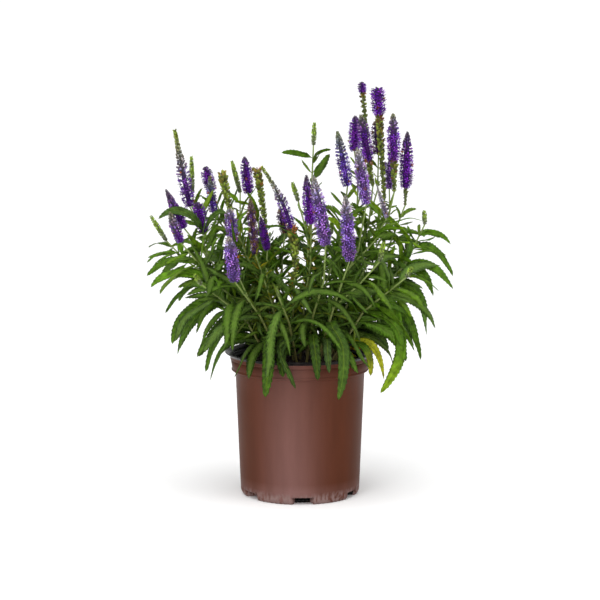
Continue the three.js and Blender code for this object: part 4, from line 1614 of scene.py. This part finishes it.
@dataclass
class PlantShoot:
    """One leafy stem with its leaves, capsules and green buds, which stands for one node of the frame."""

    index: int
    shoot: Shoot
    spin: float
    foot_radius: float = 1.6
    neck_radius: float = 0.85
    side_radius: float = 1.0
    depth: float = 14
    above: float = 1.5
    stalks: list[Stalk] = field(default_factory=list)
    spikes: list[Bezier] = field(default_factory=list)
    leaves: list[LeafBlade] = field(default_factory=list)

    @property
    def node(self) -> str:
        """The node of the frame that this stem stands for."""
        return f"leafy_stem_{self.index + 1:02d}"

    def draw_axes(self) -> None:
        """Works out the curves of every axis."""
        x, y = self.shoot.foot
        ground = Vector((x, y, POT.mix_at(x, y) + self.above))
        for axis in self.shoot.axes:
            main = self.stalks[0] if self.stalks else None
            start = main.on(axis.start)[0] if main else ground
            heading = main.curve.along(axis.start) if main else UP
            neck, end = Vector(axis.neck), Vector(axis.end)
            middle = (neck + end) / 2 + Vector((2 * axis.bow, 0, 0))
            reach = (neck - start).length
            leave = (middle - neck).normalized()
            stem = Bezier((start, start + heading * 0.42 * reach, neck - leave * 0.3 * reach, neck))
            self.stalks.append(Stalk(stem))
            self.spikes.append(Bezier((neck, middle, end)))

    def follow(self, leaf: Aimed | Stray, stalk: Stalk, rng: Random, most: float = 0.6) -> LeafBlade:
        """Makes a leaf that follows a curve of its own.

        Args:
            leaf: The leaf.
            stalk: The stalk that it leaves.
            rng: Source of its bends.
            most: How far it may turn about itself to show a face, in radians.

        Returns:
            Its mesh.
        """
        arch = Bezier((stalk.on(leaf.at)[0], Vector(leaf.over), Vector(leaf.tip)))
        made = self.blade(RULE.arch(arch, radians(leaf.roll)), arch.length(), rng, most=most)
        return replace(made, age=leaf.age, tone=leaf.tone, grey=leaf.grey, hook=0)

    def grow_aimed(self, rng: Random) -> None:
        """Grows the aimed leaves, then the strays.

        Args:
            rng: Source of their bends.
        """
        for axis, stalk in zip(self.shoot.axes, self.stalks):
            for aim in axis.aimed:
                leaf = self.follow(aim, stalk, rng, aim.most)
                leaf = replace(leaf, widen=leaf.widen * aim.widen, sway=aim.sway)
                self.leaves.append(replace(leaf, ageing=aim.ageing, blunt=aim.blunt))
        for stray in STRAYS.get(self.index, ()):
            self.leaves.append(replace(self.follow(stray, self.stalks[stray.order], rng), widen=STRAY_WIDTH))

    def grow_pairs(self, draws: Draws, rng: Random, crowd: Crowd) -> None:
        """Grows the pairs of leaves, each leaf where the frame has its tip.

        Args:
            draws: Source of their places and bends, as in the frame.
            rng: Source of their age and tone.
            crowd: The spikes, before which a leaf is narrow.
        """
        tips = kdtree.KDTree(len(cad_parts[self.node].data.vertices))
        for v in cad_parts[self.node].data.vertices:
            tips.insert(v.co, v.index)
        tips.balance()
        first = self.spin + pi / 4
        for order, (axis, stalk) in enumerate(zip(self.shoot.axes, self.stalks)):
            lowest, highest = LEAFY_SIDE if order else LEAFY
            for k in range(axis.pairs):
                root, along = stalk.on(lowest + (highest - lowest) * (k + 0.5) / axis.pairs)
                for side in (0, pi):
                    bearing = first + side + k * pi / 2 + draws.between(-0.2, 0.2)
                    for spine, length in RULE.tried(root, along, bearing, draws):
                        if tips.find(spine.points[-1] * MM)[2] < TIP_MATCH:
                            leaf = self.blade(spine, length, rng)
                            narrow = 1 if crowd.is_open(spine) else BEHIND_BLOOM
                            self.leaves.append(replace(leaf, widen=leaf.widen * narrow))
                            break

    def grow_more(self, draws: Draws, rng: Random, crowd: Crowd) -> None:
        """Grows the leaves between those pairs, and the small ones in their axils.

        Args:
            draws: Source of their places and bends.
            rng: Source of their age and tone.
            crowd: The spikes that they keep clear of.
        """
        for order, (axis, stalk) in enumerate(zip(self.shoot.axes, self.stalks)):
            lowest, highest = LEAFY_SIDE if order else LEAFY
            for k in range(4 * axis.pairs + 1):
                axil = k % 4 == 2
                at = lowest + (highest - lowest) * k / (4 * axis.pairs)
                root, along = stalk.on(min(0.97, at))
                share = FILLING.odd if k % 2 else 1
                if root.y < FILLING.front_depth and abs(root.x) < FILLING.front_half:
                    share *= FILLING.front
                for side in (0, pi):
                    swing = draws.between(-FILLING.swing, FILLING.swing)
                    bearing = self.spin + side + k * pi / 2 + swing
                    shrink = draws.between(*(FILLING.axil if axil else FILLING.between)) * share
                    spine, length = RULE.tried(root, along, bearing, draws, shrink)[0]
                    tip = spine.points[-1]
                    skirt = tip.z < FILLING.skirt_height and hypot(tip.x, tip.y) > FILLING.skirt_radius
                    if not is_free(spine) or not crowd.is_open(spine):
                        continue
                    if not skirt or draws.between(0, 1) >= FILLING.skirt_thinned:
                        self.leaves.append(self.blade(spine, length, rng, young=axil, most=FILLING.most))

    def grow_tufts(self, rng: Random) -> None:
        """Grows the tiny narrow leaves that crowd the upper stem.

        Args:
            rng: Source of their places, bends and looks.
        """
        stalk = self.stalks[0]
        pairs = round(stalk.curve.length() * (1 - TUFTS.lowest) / TUFTS.pitch)
        for k in range(pairs):
            at = TUFTS.lowest + (TUFTS.highest - TUFTS.lowest) * (k + rng.uniform(0, 0.6)) / pairs
            root, along = stalk.on(at)
            turn = self.spin + TUFTS.turn * k
            for bearing in (turn, turn + pi + rng.uniform(-0.5, 0.5)):
                out = out_from(along, bearing)
                rise = rng.uniform(0.3, 1.1)
                length = rng.uniform(7, 16)
                outward = out * cos(rise) + along * sin(rise)
                spine = RULE.spine(root, outward, along.cross(out), length, rng.uniform(-0.3, 0.6), 0.4, 0)
                ages, tones = ((0.34, 0.6), (0.35, 1))
                if rng.uniform() < TUFTS.withered:
                    ages, tones = ((0.66, 0.95), (0.05, 0.4))
                look = {"age": rng.uniform(*ages), "tone": rng.uniform(*tones), "widen": TUFTS.widen}
                self.leaves.append(replace(self.blade(spine, length, rng), **look))

    def blade(
        self,
        spine: Spine,
        length: float,
        rng: Random,
        young: bool = False,
        most: float = 0.6,
    ) -> LeafBlade:
        """A leaf's mesh, with its age, tone and bend drawn.

        Args:
            spine: Its midline.
            length: Its length.
            rng: Source of the draws.
            young: Whether it is one of the small leaves of an axil.
            most: How far it may turn about itself to show a face, in radians.

        Returns:
            The mesh.
        """
        h, height = HABIT, RULE.height(spine.points[0].z)
        age = h.age - h.age_fall * height + rng.normal(0, h.age_spread) - (h.young_age if young else 0)
        age = min(h.oldest, max(0, age))
        x, y, z = spine.points[RULE.steps // 2]
        tone = rng.uniform(0, 1) * (h.front_tone if y < h.front else 1)
        tone -= h.foremost_tone if y < h.foremost else 0
        fold, bend, roll = rng.uniform(0.15, 0.85), rng.uniform(0, 0.065) * length, rng.uniform(0.1, 1.1)
        wide = h.young_width if young else rng.uniform(0.85, 1.15) - 0.3 * max(0, length / RULE.long - 0.7)
        face = facing(spine, most) * rng.uniform(0.3, 1)
        hook = rng.uniform(-0.3, 0.3) * length * (0.2 if spine.points[-1].y < h.straight_front else 1)
        if abs(x) < h.centre_half and y < h.centre_front[0] and h.centre_reach[0] < z < h.centre_reach[1]:
            wide *= h.centre_width[y < h.centre_front[1]]
            age = max(age, h.centre_age[0]) + h.centre_age[1]
        # grey is the share of a painted sheen on the leaf.
        phase, blunt, grey = rng.uniform(0, 6), rng.uniform(0, 0.7), max(0, rng.uniform(-0.7, 0.5))
        drawn = {"roll": roll, "face": face, "phase": phase, "hook": hook, "blunt": blunt, "grey": grey}
        return LeafBlade(spine, length, age, tone, wide, fold, bend, **drawn)

    def build(self, florets: FloretSet, finishes: list[Material]) -> Object:
        """Makes the stem's object.

        Args:
            florets: The floret templates.
            finishes: Materials of the blades, of the stems and of the capsules.

        Returns:
            The object.
        """
        pieces = Pieces()
        for leaf in self.leaves:
            leaf.add_to(pieces, 0)
        for order, (axis, stalk, spike) in enumerate(zip(self.shoot.axes, self.stalks, self.spikes)):
            self.add_stem(pieces, stalk, order)
            seed = 100 * self.index + order
            if axis.spent:
                self.add_core(pieces, spike, axis.spent, [1.4 - 0.03 * k for k in range(9)], 0.5)
                florets.spent(pieces, axis, spike, seed, 2)
            if axis.bud:
                self.add_core(pieces, spike, 1, [1.3, 1.5, 1.4, 1.1, 0.3], 0.6)
                florets.buds(pieces, spike, seed, 2, axis.husk)
        obj = pieces.build(f"shoot_{self.index + 1:02d}", finishes)
        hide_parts(self.node)
        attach(obj, "root")
        return obj

    def add_core(self, pieces: Pieces, spike: Bezier, reach: float, radii: list, bright: float) -> None:
        """Adds the green core of a spike's spent or budding stretch.

        Args:
            pieces: The mesh.
            spike: The spike's curve.
            reach: Share of the curve at which the core ends.
            radii: Its radius at even steps.
            bright: How bright its green is.
        """
        last = len(radii) - 1
        stops = [spike.at(reach * k / last) for k in range(last + 1)]
        pieces.add_tube(stops, radii, 6, 1, (*(bright * c for c in STEM_GREEN), 1))

    def add_stem(self, pieces: Pieces, stalk: Stalk, order: int) -> None:
        """Adds a stem, thicker and browner at its foot than at its neck.

        Args:
            pieces: The mesh.
            stalk: The stem's course.
            order: 0 for the main stem, more for its side stems.
        """
        steps = 8 * stalk.pieces
        stops = [stalk.on(k / steps)[0] for k in range(steps + 1)]
        low = self.side_radius if order else self.foot_radius
        radii = [low + (self.neck_radius - low) * k / steps for k in range(steps + 1)]
        if not order:
            stops.insert(0, stops[0] - UP * (self.depth + self.above))
            radii.insert(0, low)
        points, faces = tube(stops, radii, 8)
        height = np.clip((points[:, 2] - POT.mix_level) / 90, 0, 1)[:, None]
        foot, top = np.array(STEM_FOOT), np.array(STEM_GREEN)
        look = np.concatenate([foot * (1 - height) + top * height, np.ones((len(points), 1))], axis=1)
        pieces.add(points, faces, 1, look)


def facing(spine: Spine, most: float) -> float:
    """How far a leaf turns about itself so that a face looks out of the front or the back of the clump.

    Args:
        spine: The leaf's midline.
        most: The most that it may turn, in radians.

    Returns:
        The turn.
    """
    centre, side, normal = spine.at(0.6)
    along = normal.cross(side)
    target = Vector((0, -1 if centre.y < 20 else 1, 0.4))
    target = target - along * target.dot(along)
    turn = atan2(normal.cross(target).dot(along), normal.dot(target))
    if abs(turn) > pi / 2:
        turn -= copysign(pi, turn)
    return min(most, max(-most, turn))


RIM_ABOVE = 3
RIM_INSIDE = 5
RIM_OUTSIDE = 4
MIX_ABOVE = 8
LOWEST_SHARE = 0.75
BOX_MARGIN = 0.001


def is_free(spine: Spine) -> bool:
    """Whether a leaf keeps clear of the pot's rim, the mix and the frame's box.

    Args:
        spine: The leaf's midline.

    Returns:
        Whether it does.
    """
    low, high = CAD_BOX
    for point in spine.points:
        out = hypot(point.x, point.y)
        over_rim = POT.body_top - RIM_INSIDE < out < POT.lip_radius + RIM_OUTSIDE
        if over_rim and point.z < POT.height + RIM_ABOVE:
            return False
        if point.z < POT.mix_level + MIX_ABOVE and out < POT.lip_radius:
            return False
        if point.z < POT.height * LOWEST_SHARE:
            return False
        if any(not low[k] + BOX_MARGIN <= point[k] * MM <= high[k] - BOX_MARGIN for k in range(3)):
            return False
    return True


@dataclass
class Plant:
    """The whole clump."""

    seed: int = 20
    shoots: list[PlantShoot] = field(default_factory=list)

    def grow(self) -> None:
        """Grows every shoot, in the order in which the frame draws."""
        draws = Draws(self.seed)
        rng = np.random.default_rng(self.seed)
        for index, shoot in enumerate(SHOOTS):
            self.shoots.append(PlantShoot(index, shoot, draws.between(0, pi / 2)))
        for shoot in self.shoots:
            shoot.draw_axes()
        for shoot in self.shoots:
            shoot.grow_aimed(rng)
        crowd = Crowd([(spike, axis) for s in self.shoots for spike, axis in zip(s.spikes, s.shoot.axes)])
        for shoot in self.shoots:
            shoot.grow_pairs(draws, rng, crowd)
        for shoot in self.shoots:
            shoot.grow_more(draws, rng, crowd)
        for index in TUFTS.shoots:
            self.shoots[index].grow_tufts(rng)
        LOG.info("%d leaves", sum(len(s.leaves) for s in self.shoots))

    def build(self) -> None:
        """Builds the shoots and the flower spikes."""
        florets = FloretSet()
        blade = Blade().build()
        stem = Tinted("stem", roughness=0.5, mottle=0.2, scale=300).build()
        capsule = Tinted("capsule", roughness=0.65).build()
        petal = Tinted("petal", roughness=0.7, mottle=0.25, specular=0.15).build()
        for shoot in self.shoots:
            report(shoot.build(florets, [blade, stem, capsule]))
        number = 0
        for shoot in self.shoots:
            for axis, spike in zip(shoot.shoot.axes, shoot.spikes):
                if not axis.girth:
                    continue
                number += 1
                pieces = Pieces()
                florets.bloom(pieces, axis, spike, axis.spent + 0.3 / spike.length(), 7000 + number)
                obj = pieces.build(f"spike_{number:02d}", [petal])
                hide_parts(f"flower_spike_{number:02d}")
                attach(obj, "root")
                report(obj)


# Pot, mix and twig


@dataclass
class NurseryPot:
    """The fine mesh of the pot: outside and inside skins that meet at the lip, with drain notches."""

    sides: int = 296
    notches: int = 6
    notch_turn: float = 3
    notch_width: float = 23
    notch_height: float = 8.5
    notch_reach: float = 11
    rib_pitch: float = 6
    rib_depth: float = 0.85
    rib_height: float = 12
    slit: tuple[float, float] = (5.2, 8.0)
    slit_depth: float = 5
    body_rows: tuple = (8.4, 8.6, 10, 11.5, 13, 16, 30, 60, 90, 120)
    neck_rows: tuple = ((0, 0), (0.3, 0.3), (0.8, 1))
    bead_rows: tuple = ((-0.9, -0.6), (0.3, -0.1), (0.9, 0.6), (0.9, 1.6), (0.1, 2.3), (0.2, 3.2))
    groove_rows: tuple = ((-1, -5.2), (-1.9, -4.7), (-1.8, -4.2), (-0.5, -3.6))
    rim_rows: tuple = ((-0.2, -2.6), (-0.3, -1), (0.5, 0.4))

    def notch_share(self, bearing: float) -> float:
        """How far a bearing lies inside a notch.

        Args:
            bearing: The bearing, in radians.

        Returns:
            1 in a notch, 0 outside.
        """
        pitch = 360 / self.notches
        off = (degrees(bearing) + 90 - self.notch_turn + pitch / 2) % pitch - pitch / 2
        half = degrees(atan2(self.notch_width / 2, POT.foot_outer))
        return min(1, max(0, (half - abs(off)) / 1.2 + 0.5))

    def outline(self, inset: float) -> list[tuple[float, float]]:
        """The outer profile from the foot to the lip.

        Args:
            inset: How far it is drawn in.

        Returns:
            Radius and height of each of its points.
        """
        p = POT
        low = max(0.0, inset - 0.2)
        rows = [(p.foot_outer, low + (0.2 if inset else 0)), (p.foot_outer + 1.6, 1 + low)]
        rows += [(p.body_bottom, p.corner_height + 0.1 * inset)]
        rows += [(p.body_bottom, 5.3), (p.body_bottom + 0.1, 7.9)]
        for z in self.body_rows:
            share = (z - p.corner_height) / (p.band - p.band_neck - p.corner_height)
            rows.append((p.body_bottom + (p.body_top - p.body_bottom) * share, z))
        neck, bead, rim = p.band - p.band_neck + 1.8, p.band - p.band_step + 1.6, p.height - p.lip_rise
        rows += [(p.body_top + out, neck + up) for out, up in self.neck_rows]
        rows += [(p.band_radius + out, bead + up) for out, up in self.bead_rows]
        rows += [(p.band_top + out, rim + up) for out, up in self.groove_rows + self.rim_rows]
        return [(radius - inset, z) for radius, z in rows]

    def build(self, finishes: list[Material]) -> Object:
        """Makes the pot's object.

        Args:
            finishes: Materials of the outside and of the inside, whose black also paints the shade in the
                notches.

        Returns:
            The object.
        """
        p = POT
        outer = self.outline(0)
        lip = [(p.lip_radius - 0.8, p.height - p.lip_thick), (p.lip_radius, p.height - 0.5)]
        lip += [(p.lip_radius - 0.25, p.height - 0.1), (p.lip_radius - 1.6, p.height)]
        inner = [(r, z) for r, z in reversed(self.outline(p.wall)) if z > p.corner_height]
        ground = p.floor_rise + p.wall
        bottom = [(p.foot_outer - p.wall, ground), (p.foot_outer - 14, ground), (0, ground)]
        under = [(0, p.floor_rise), (p.foot_inner - p.foot_slope, p.floor_rise), (p.foot_inner, 0.0)]
        profile = under + outer + lip + inner + bottom
        shown_outside = len(under) + len(outer)
        bearings = [2 * pi * i / self.sides for i in range(self.sides)]
        points, finish = [], []
        ribs = round(2 * pi * p.body_bottom / self.rib_pitch)
        for row, (radius, z) in enumerate(profile):
            inside = row >= shown_outside + len(lip)
            wall = p.wall if inside else 0
            reach = p.foot_outer - self.notch_reach - wall
            deep = self.slit_depth if inside or self.slit[0] < z < self.slit[1] else 0
            ribbed = len(under) <= row < shown_outside and z < self.rib_height
            for bearing in bearings:
                r = radius
                if z < self.notch_height + wall and row != 0:
                    r += (min(radius, reach - deep) - radius) * self.notch_share(bearing)
                if ribbed:
                    fade = min(1, (self.rib_height - z) / 3)
                    r -= self.rib_depth * fade * (0.5 + 0.5 * cos(ribs * bearing))
                points.append((r * cos(bearing), r * sin(bearing), z))
            if row:
                # Outside faces in a notch, from 0.5 mm up to its top, take the black inside material as
                # painted shade in the recess.
                clear_of_notch_shade = row < shown_outside and not 0.5 < z < self.notch_height
                for bearing in bearings:
                    brown = clear_of_notch_shade or (row < shown_outside and self.notch_share(bearing) < 1)
                    finish.append(0 if brown else 1)
        pieces = Pieces()
        pieces.add(np.array(points), ring_quads(len(profile) - 1, self.sides), 0, PLAIN)
        pieces.finishes[-1] = np.array(finish)
        obj = pieces.build("pot_shell", finishes)
        merge(obj)
        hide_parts("pot")
        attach(obj, "root")
        return obj


def merge(obj: Object, within: float = 1e-6) -> None:
    """Merges an object's doubled points, as on an axis, and drops the faces that collapse.

    Args:
        obj: The object.
        within: How near doubled points lie, in metres.
    """
    mesh = bmesh.new()
    mesh.from_mesh(obj.data)
    bmesh.ops.remove_doubles(mesh, verts=mesh.verts, dist=within)
    bmesh.ops.dissolve_degenerate(mesh, edges=mesh.edges, dist=within / 10)
    bmesh.ops.recalc_face_normals(mesh, faces=mesh.faces)
    mesh.to_mesh(obj.data)
    mesh.free()


@dataclass
class PottingMix:
    """The mix: a lumpy surface that closes under itself, and the loose crumbs and chips on it."""

    rings: int = 46
    sides: int = 150
    crumbs: int = 1500
    edge_drop: float = 2.0
    seed: int = 5

    def level(self, x: float, y: float) -> float:
        """Height of the fine surface, which lies within 0.8 mm of the frame's."""
        fine = 0.5 * sin(x / 2.7 + 1.3 * sin(y / 4)) * cos(y / 2.3)
        finer = 0.28 * sin(x / 1.1 + y / 1.7) * sin(y / 0.9 - x / 2)
        return POT.mix_at(x, y) - 0.8 + fine + finer

    def build(self, finish: Material) -> Object:
        """Makes the mix's object.

        Args:
            finish: Its material.

        Returns:
            The object.
        """
        edge = POT.band_radius - POT.wall - POT.mix_gap
        turns = [2 * pi * i / self.sides for i in range(self.sides)]
        points = [(0.0, 0.0, self.level(0, 0))]
        for j in range(1, self.rings + 1):
            r = edge * j / self.rings
            for x, y in ((r * cos(turn), r * sin(turn)) for turn in turns):
                points.append((x, y, self.level(x, y) - (self.edge_drop if j == self.rings else 0)))
        w = POT.wall + POT.mix_gap
        walls = [(edge, POT.band), (POT.body_top - w, POT.band - POT.band_neck)]
        low = POT.floor_rise + w
        walls += [(POT.body_bottom - w - 0.3, 14), (POT.foot_outer - 20, 12), (POT.foot_outer - 21, low)]
        for r, z in walls:
            points += [(r * cos(turn), r * sin(turn), z) for turn in turns]
        points.append((0, 0, low))
        bottom, last = len(points) - 1, len(points) - 1 - self.sides
        fan = []
        for i in range(self.sides):
            j = (i + 1) % self.sides
            fan += [(0, 1 + i, 1 + j), (bottom, last + j, last + i)]
        quads = 1 + ring_quads(self.rings + len(walls) - 1, self.sides)[:, [0, 3, 2, 1]]
        pieces = Pieces()
        pieces.add(np.array(points), quads, 0, PLAIN, ends=np.array(fan))
        self.add_crumbs(pieces)
        obj = pieces.build("mix_surface", [finish])
        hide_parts("potting_mix")
        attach(obj, "root")
        return obj

    def add_crumbs(self, pieces: Pieces) -> None:
        """Adds crumbs and chips of bark, sunk a little into the surface.

        Args:
            pieces: The mesh.
        """
        rng = np.random.default_rng(self.seed)
        corners = np.array([(1, 0, 0), (-1, 0, 0), (0, 1, 0), (0, -1, 0), (0, 0, 1), (0, 0, -1)], float)
        upper = [(0, 2, 4), (2, 1, 4), (1, 3, 4), (3, 0, 4)]
        faces = np.array(upper + [(b, a, 5) for a, b, _ in upper])
        edge = POT.band_radius - POT.wall - 3
        for _ in range(self.crumbs):
            out, turn = edge * sqrt(rng.uniform()), rng.uniform(0, 2 * pi)
            x, y = out * cos(turn), out * sin(turn)
            size = rng.uniform(0.5, 1.5) * (2.2 if rng.uniform() < 0.12 else 1)
            shape = corners * (1 + 0.35 * rng.normal(size=(6, 1))) * np.array((1.3, 0.8, 0.55)) * size
            tilted = Quaternion(Vector(rng.normal(size=3)).normalized(), rng.uniform(0, 0.9))
            turned = shape @ np.array((tilted @ Quaternion(UP, turn * 3)).to_matrix()).T
            tone = rng.uniform(0.5, 1.6)
            place = (x, y, self.level(x, y) + 0.1 * size)
            pieces.add(turned + np.array(place), faces, 0, (tone, tone, tone, 1))


@dataclass
class DryTwig:
    """The dry twig on the mix, with its bark and a broken side twig."""

    rise: float = 0.45
    radius: float = 1.4
    steps: int = 16
    fork_step: int = 9

    def build(self, finish: Material) -> Object:
        """Makes the twig's object, in the place of its node.

        Args:
            finish: Its material.

        Returns:
            The object.
        """
        low, high = (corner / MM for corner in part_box("dry_twig"))
        level = (low.z + high.z) / 2
        start = Vector((low.x + 1, high.y - 1.2, level - 0.2))
        end = Vector((high.x - 0.6, low.y + 0.8, level - 0.3))
        stops, radii = [], []
        for k in range(self.steps + 1):
            t = k / self.steps
            bend = 0.5 * sin(t * 9) + 0.3 * sin(t * 23)
            rise = self.rise * sin(pi * t)
            stops.append(start.lerp(end, t) + Vector((0.3 * bend, 0.3 * bend, rise)))
            radii.append(self.radius * (1 - 0.4 * t) * (0.9 + 0.08 * sin(t * 31)))
        fork = stops[self.fork_step]
        side = [fork, fork + Vector((2.2, 1.6, 0.9)), fork + Vector((3.6, 3.4, 1.1))]
        pieces = Pieces()
        pieces.add_tube(stops, radii, 9, 0, PLAIN)
        pieces.add_tube(side, [0.7, 0.5, 0.25], 6, 0, PLAIN)
        obj = pieces.build("twig_bark", [finish])
        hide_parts("dry_twig")
        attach(obj, "root")
        return obj


# Stage


def shine(obj: Object, heading: Vector) -> None:
    """Turns a light so that it shines along a heading."""
    obj.rotation_euler = heading.to_track_quat("-Z", "Y").to_euler()


@dataclass(frozen=True)
class Softbox:
    """A soft rectangular light: where it stands, what it faces, its size and its power in watts."""

    name: str
    place: Spot
    aim: Spot
    wide: float
    high: float
    power: float

    def build(self) -> None:
        """Makes the light."""
        data = bpy.data.lights.new(self.name, "AREA")
        data.shape = "RECTANGLE"
        data.size = self.wide
        data.size_y = self.high
        data.energy = self.power
        obj = put(self.name, data)
        obj.location = self.place
        shine(obj, Vector(self.aim) - Vector(self.place))


@dataclass(frozen=True)
class Studio:
    """White floor and surround, soft lights and the camera of the photograph."""

    distance: float = 2.046
    height: float = 0.490
    pitch: float = 7.246
    lens: float = 105.26
    floor_half: float = 30
    sun: float = 2.5
    sun_angle: float = 80
    sun_heading: Spot = (0.08, 0.35, -1.1)
    surround: float = 1.05
    sky: float = 0.4
    boxes: tuple[Softbox, ...] = (
        Softbox("front_box", (-0.75, -1.75, 0.7), (0, 0, 0.2), 1.1, 1.0, 15),
        Softbox("right_box", (1.6, -1.0, 0.9), (0, 0, 0.2), 1.2, 1.2, 8),
    )

    def build(self) -> None:
        """Makes the floor, the lights, the world and the camera."""
        bpy.context.scene.view_settings.view_transform = "Standard"
        self.camera()
        self.floor()
        self.sunlight()
        self.world()
        for box in self.boxes:
            box.build()

    def camera(self) -> None:
        """Makes the camera."""
        data = bpy.data.cameras.new("photo_view")
        data.lens = self.lens
        camera = put("photo_view", data)
        camera.location = (0, -self.distance, self.height)
        camera.rotation_euler = (radians(90 - self.pitch), 0, 0)
        bpy.context.scene.camera = camera

    def floor(self) -> None:
        """Makes the floor."""
        h = self.floor_half
        mesh = bpy.data.meshes.new("floor")
        mesh.from_pydata([(-h, -h, 0), (h, -h, 0), (h, h, 0), (-h, h, 0)], [], [(0, 1, 2, 3)])
        n = Nodes("floor_white")
        white = n.ramp(n.noise(3, 2), [(0.3, (0.95, 0.95, 0.95)), (0.7, (0.97, 0.97, 0.97))])
        mesh.materials.append(n.finish(white, 0.9))
        obj = put("floor", mesh)

    def sunlight(self) -> None:
        """Makes the broad light from above, left and front."""
        data = bpy.data.lights.new("overhead", "SUN")
        data.energy = self.sun
        data.angle = radians(self.sun_angle)
        shine(put("overhead", data), Vector(self.sun_heading))

    def world(self) -> None:
        """Makes the surround: white near the horizon, and dimmer above."""
        world = bpy.data.worlds.new("studio")
        bpy.context.scene.world = world
        world.use_nodes = True
        tree = world.node_tree
        back = tree.nodes["Background"]
        back.inputs["Color"].default_value = (1, 1, 1, 1)
        place = tree.nodes.new("ShaderNodeTexCoord")
        apart = tree.nodes.new("ShaderNodeSeparateXYZ")
        rise = tree.nodes.new("ShaderNodeMapRange")
        limits = {"From Min": 0.06, "From Max": 0.35, "To Min": self.surround, "To Max": self.sky}
        for name, value in limits.items():
            rise.inputs[name].default_value = value
        tree.links.new(place.outputs["Generated"], apart.inputs[0])
        tree.links.new(apart.outputs["Z"], rise.inputs["Value"])
        tree.links.new(rise.outputs["Result"], back.inputs["Strength"])


def main() -> None:
    """Builds the scene in order and reports each piece."""
    logging.basicConfig(level=logging.INFO, format="%(name)s: %(message)s")
    Studio().build()
    report(NurseryPot().build([PotOutside().build(), PotInside().build()]))
    report(PottingMix().build(Earth().build()))
    report(DryTwig().build(Bark().build()))
    plant = Plant()
    plant.grow()
    plant.build()
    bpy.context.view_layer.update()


if __name__ == "__main__":
    main()
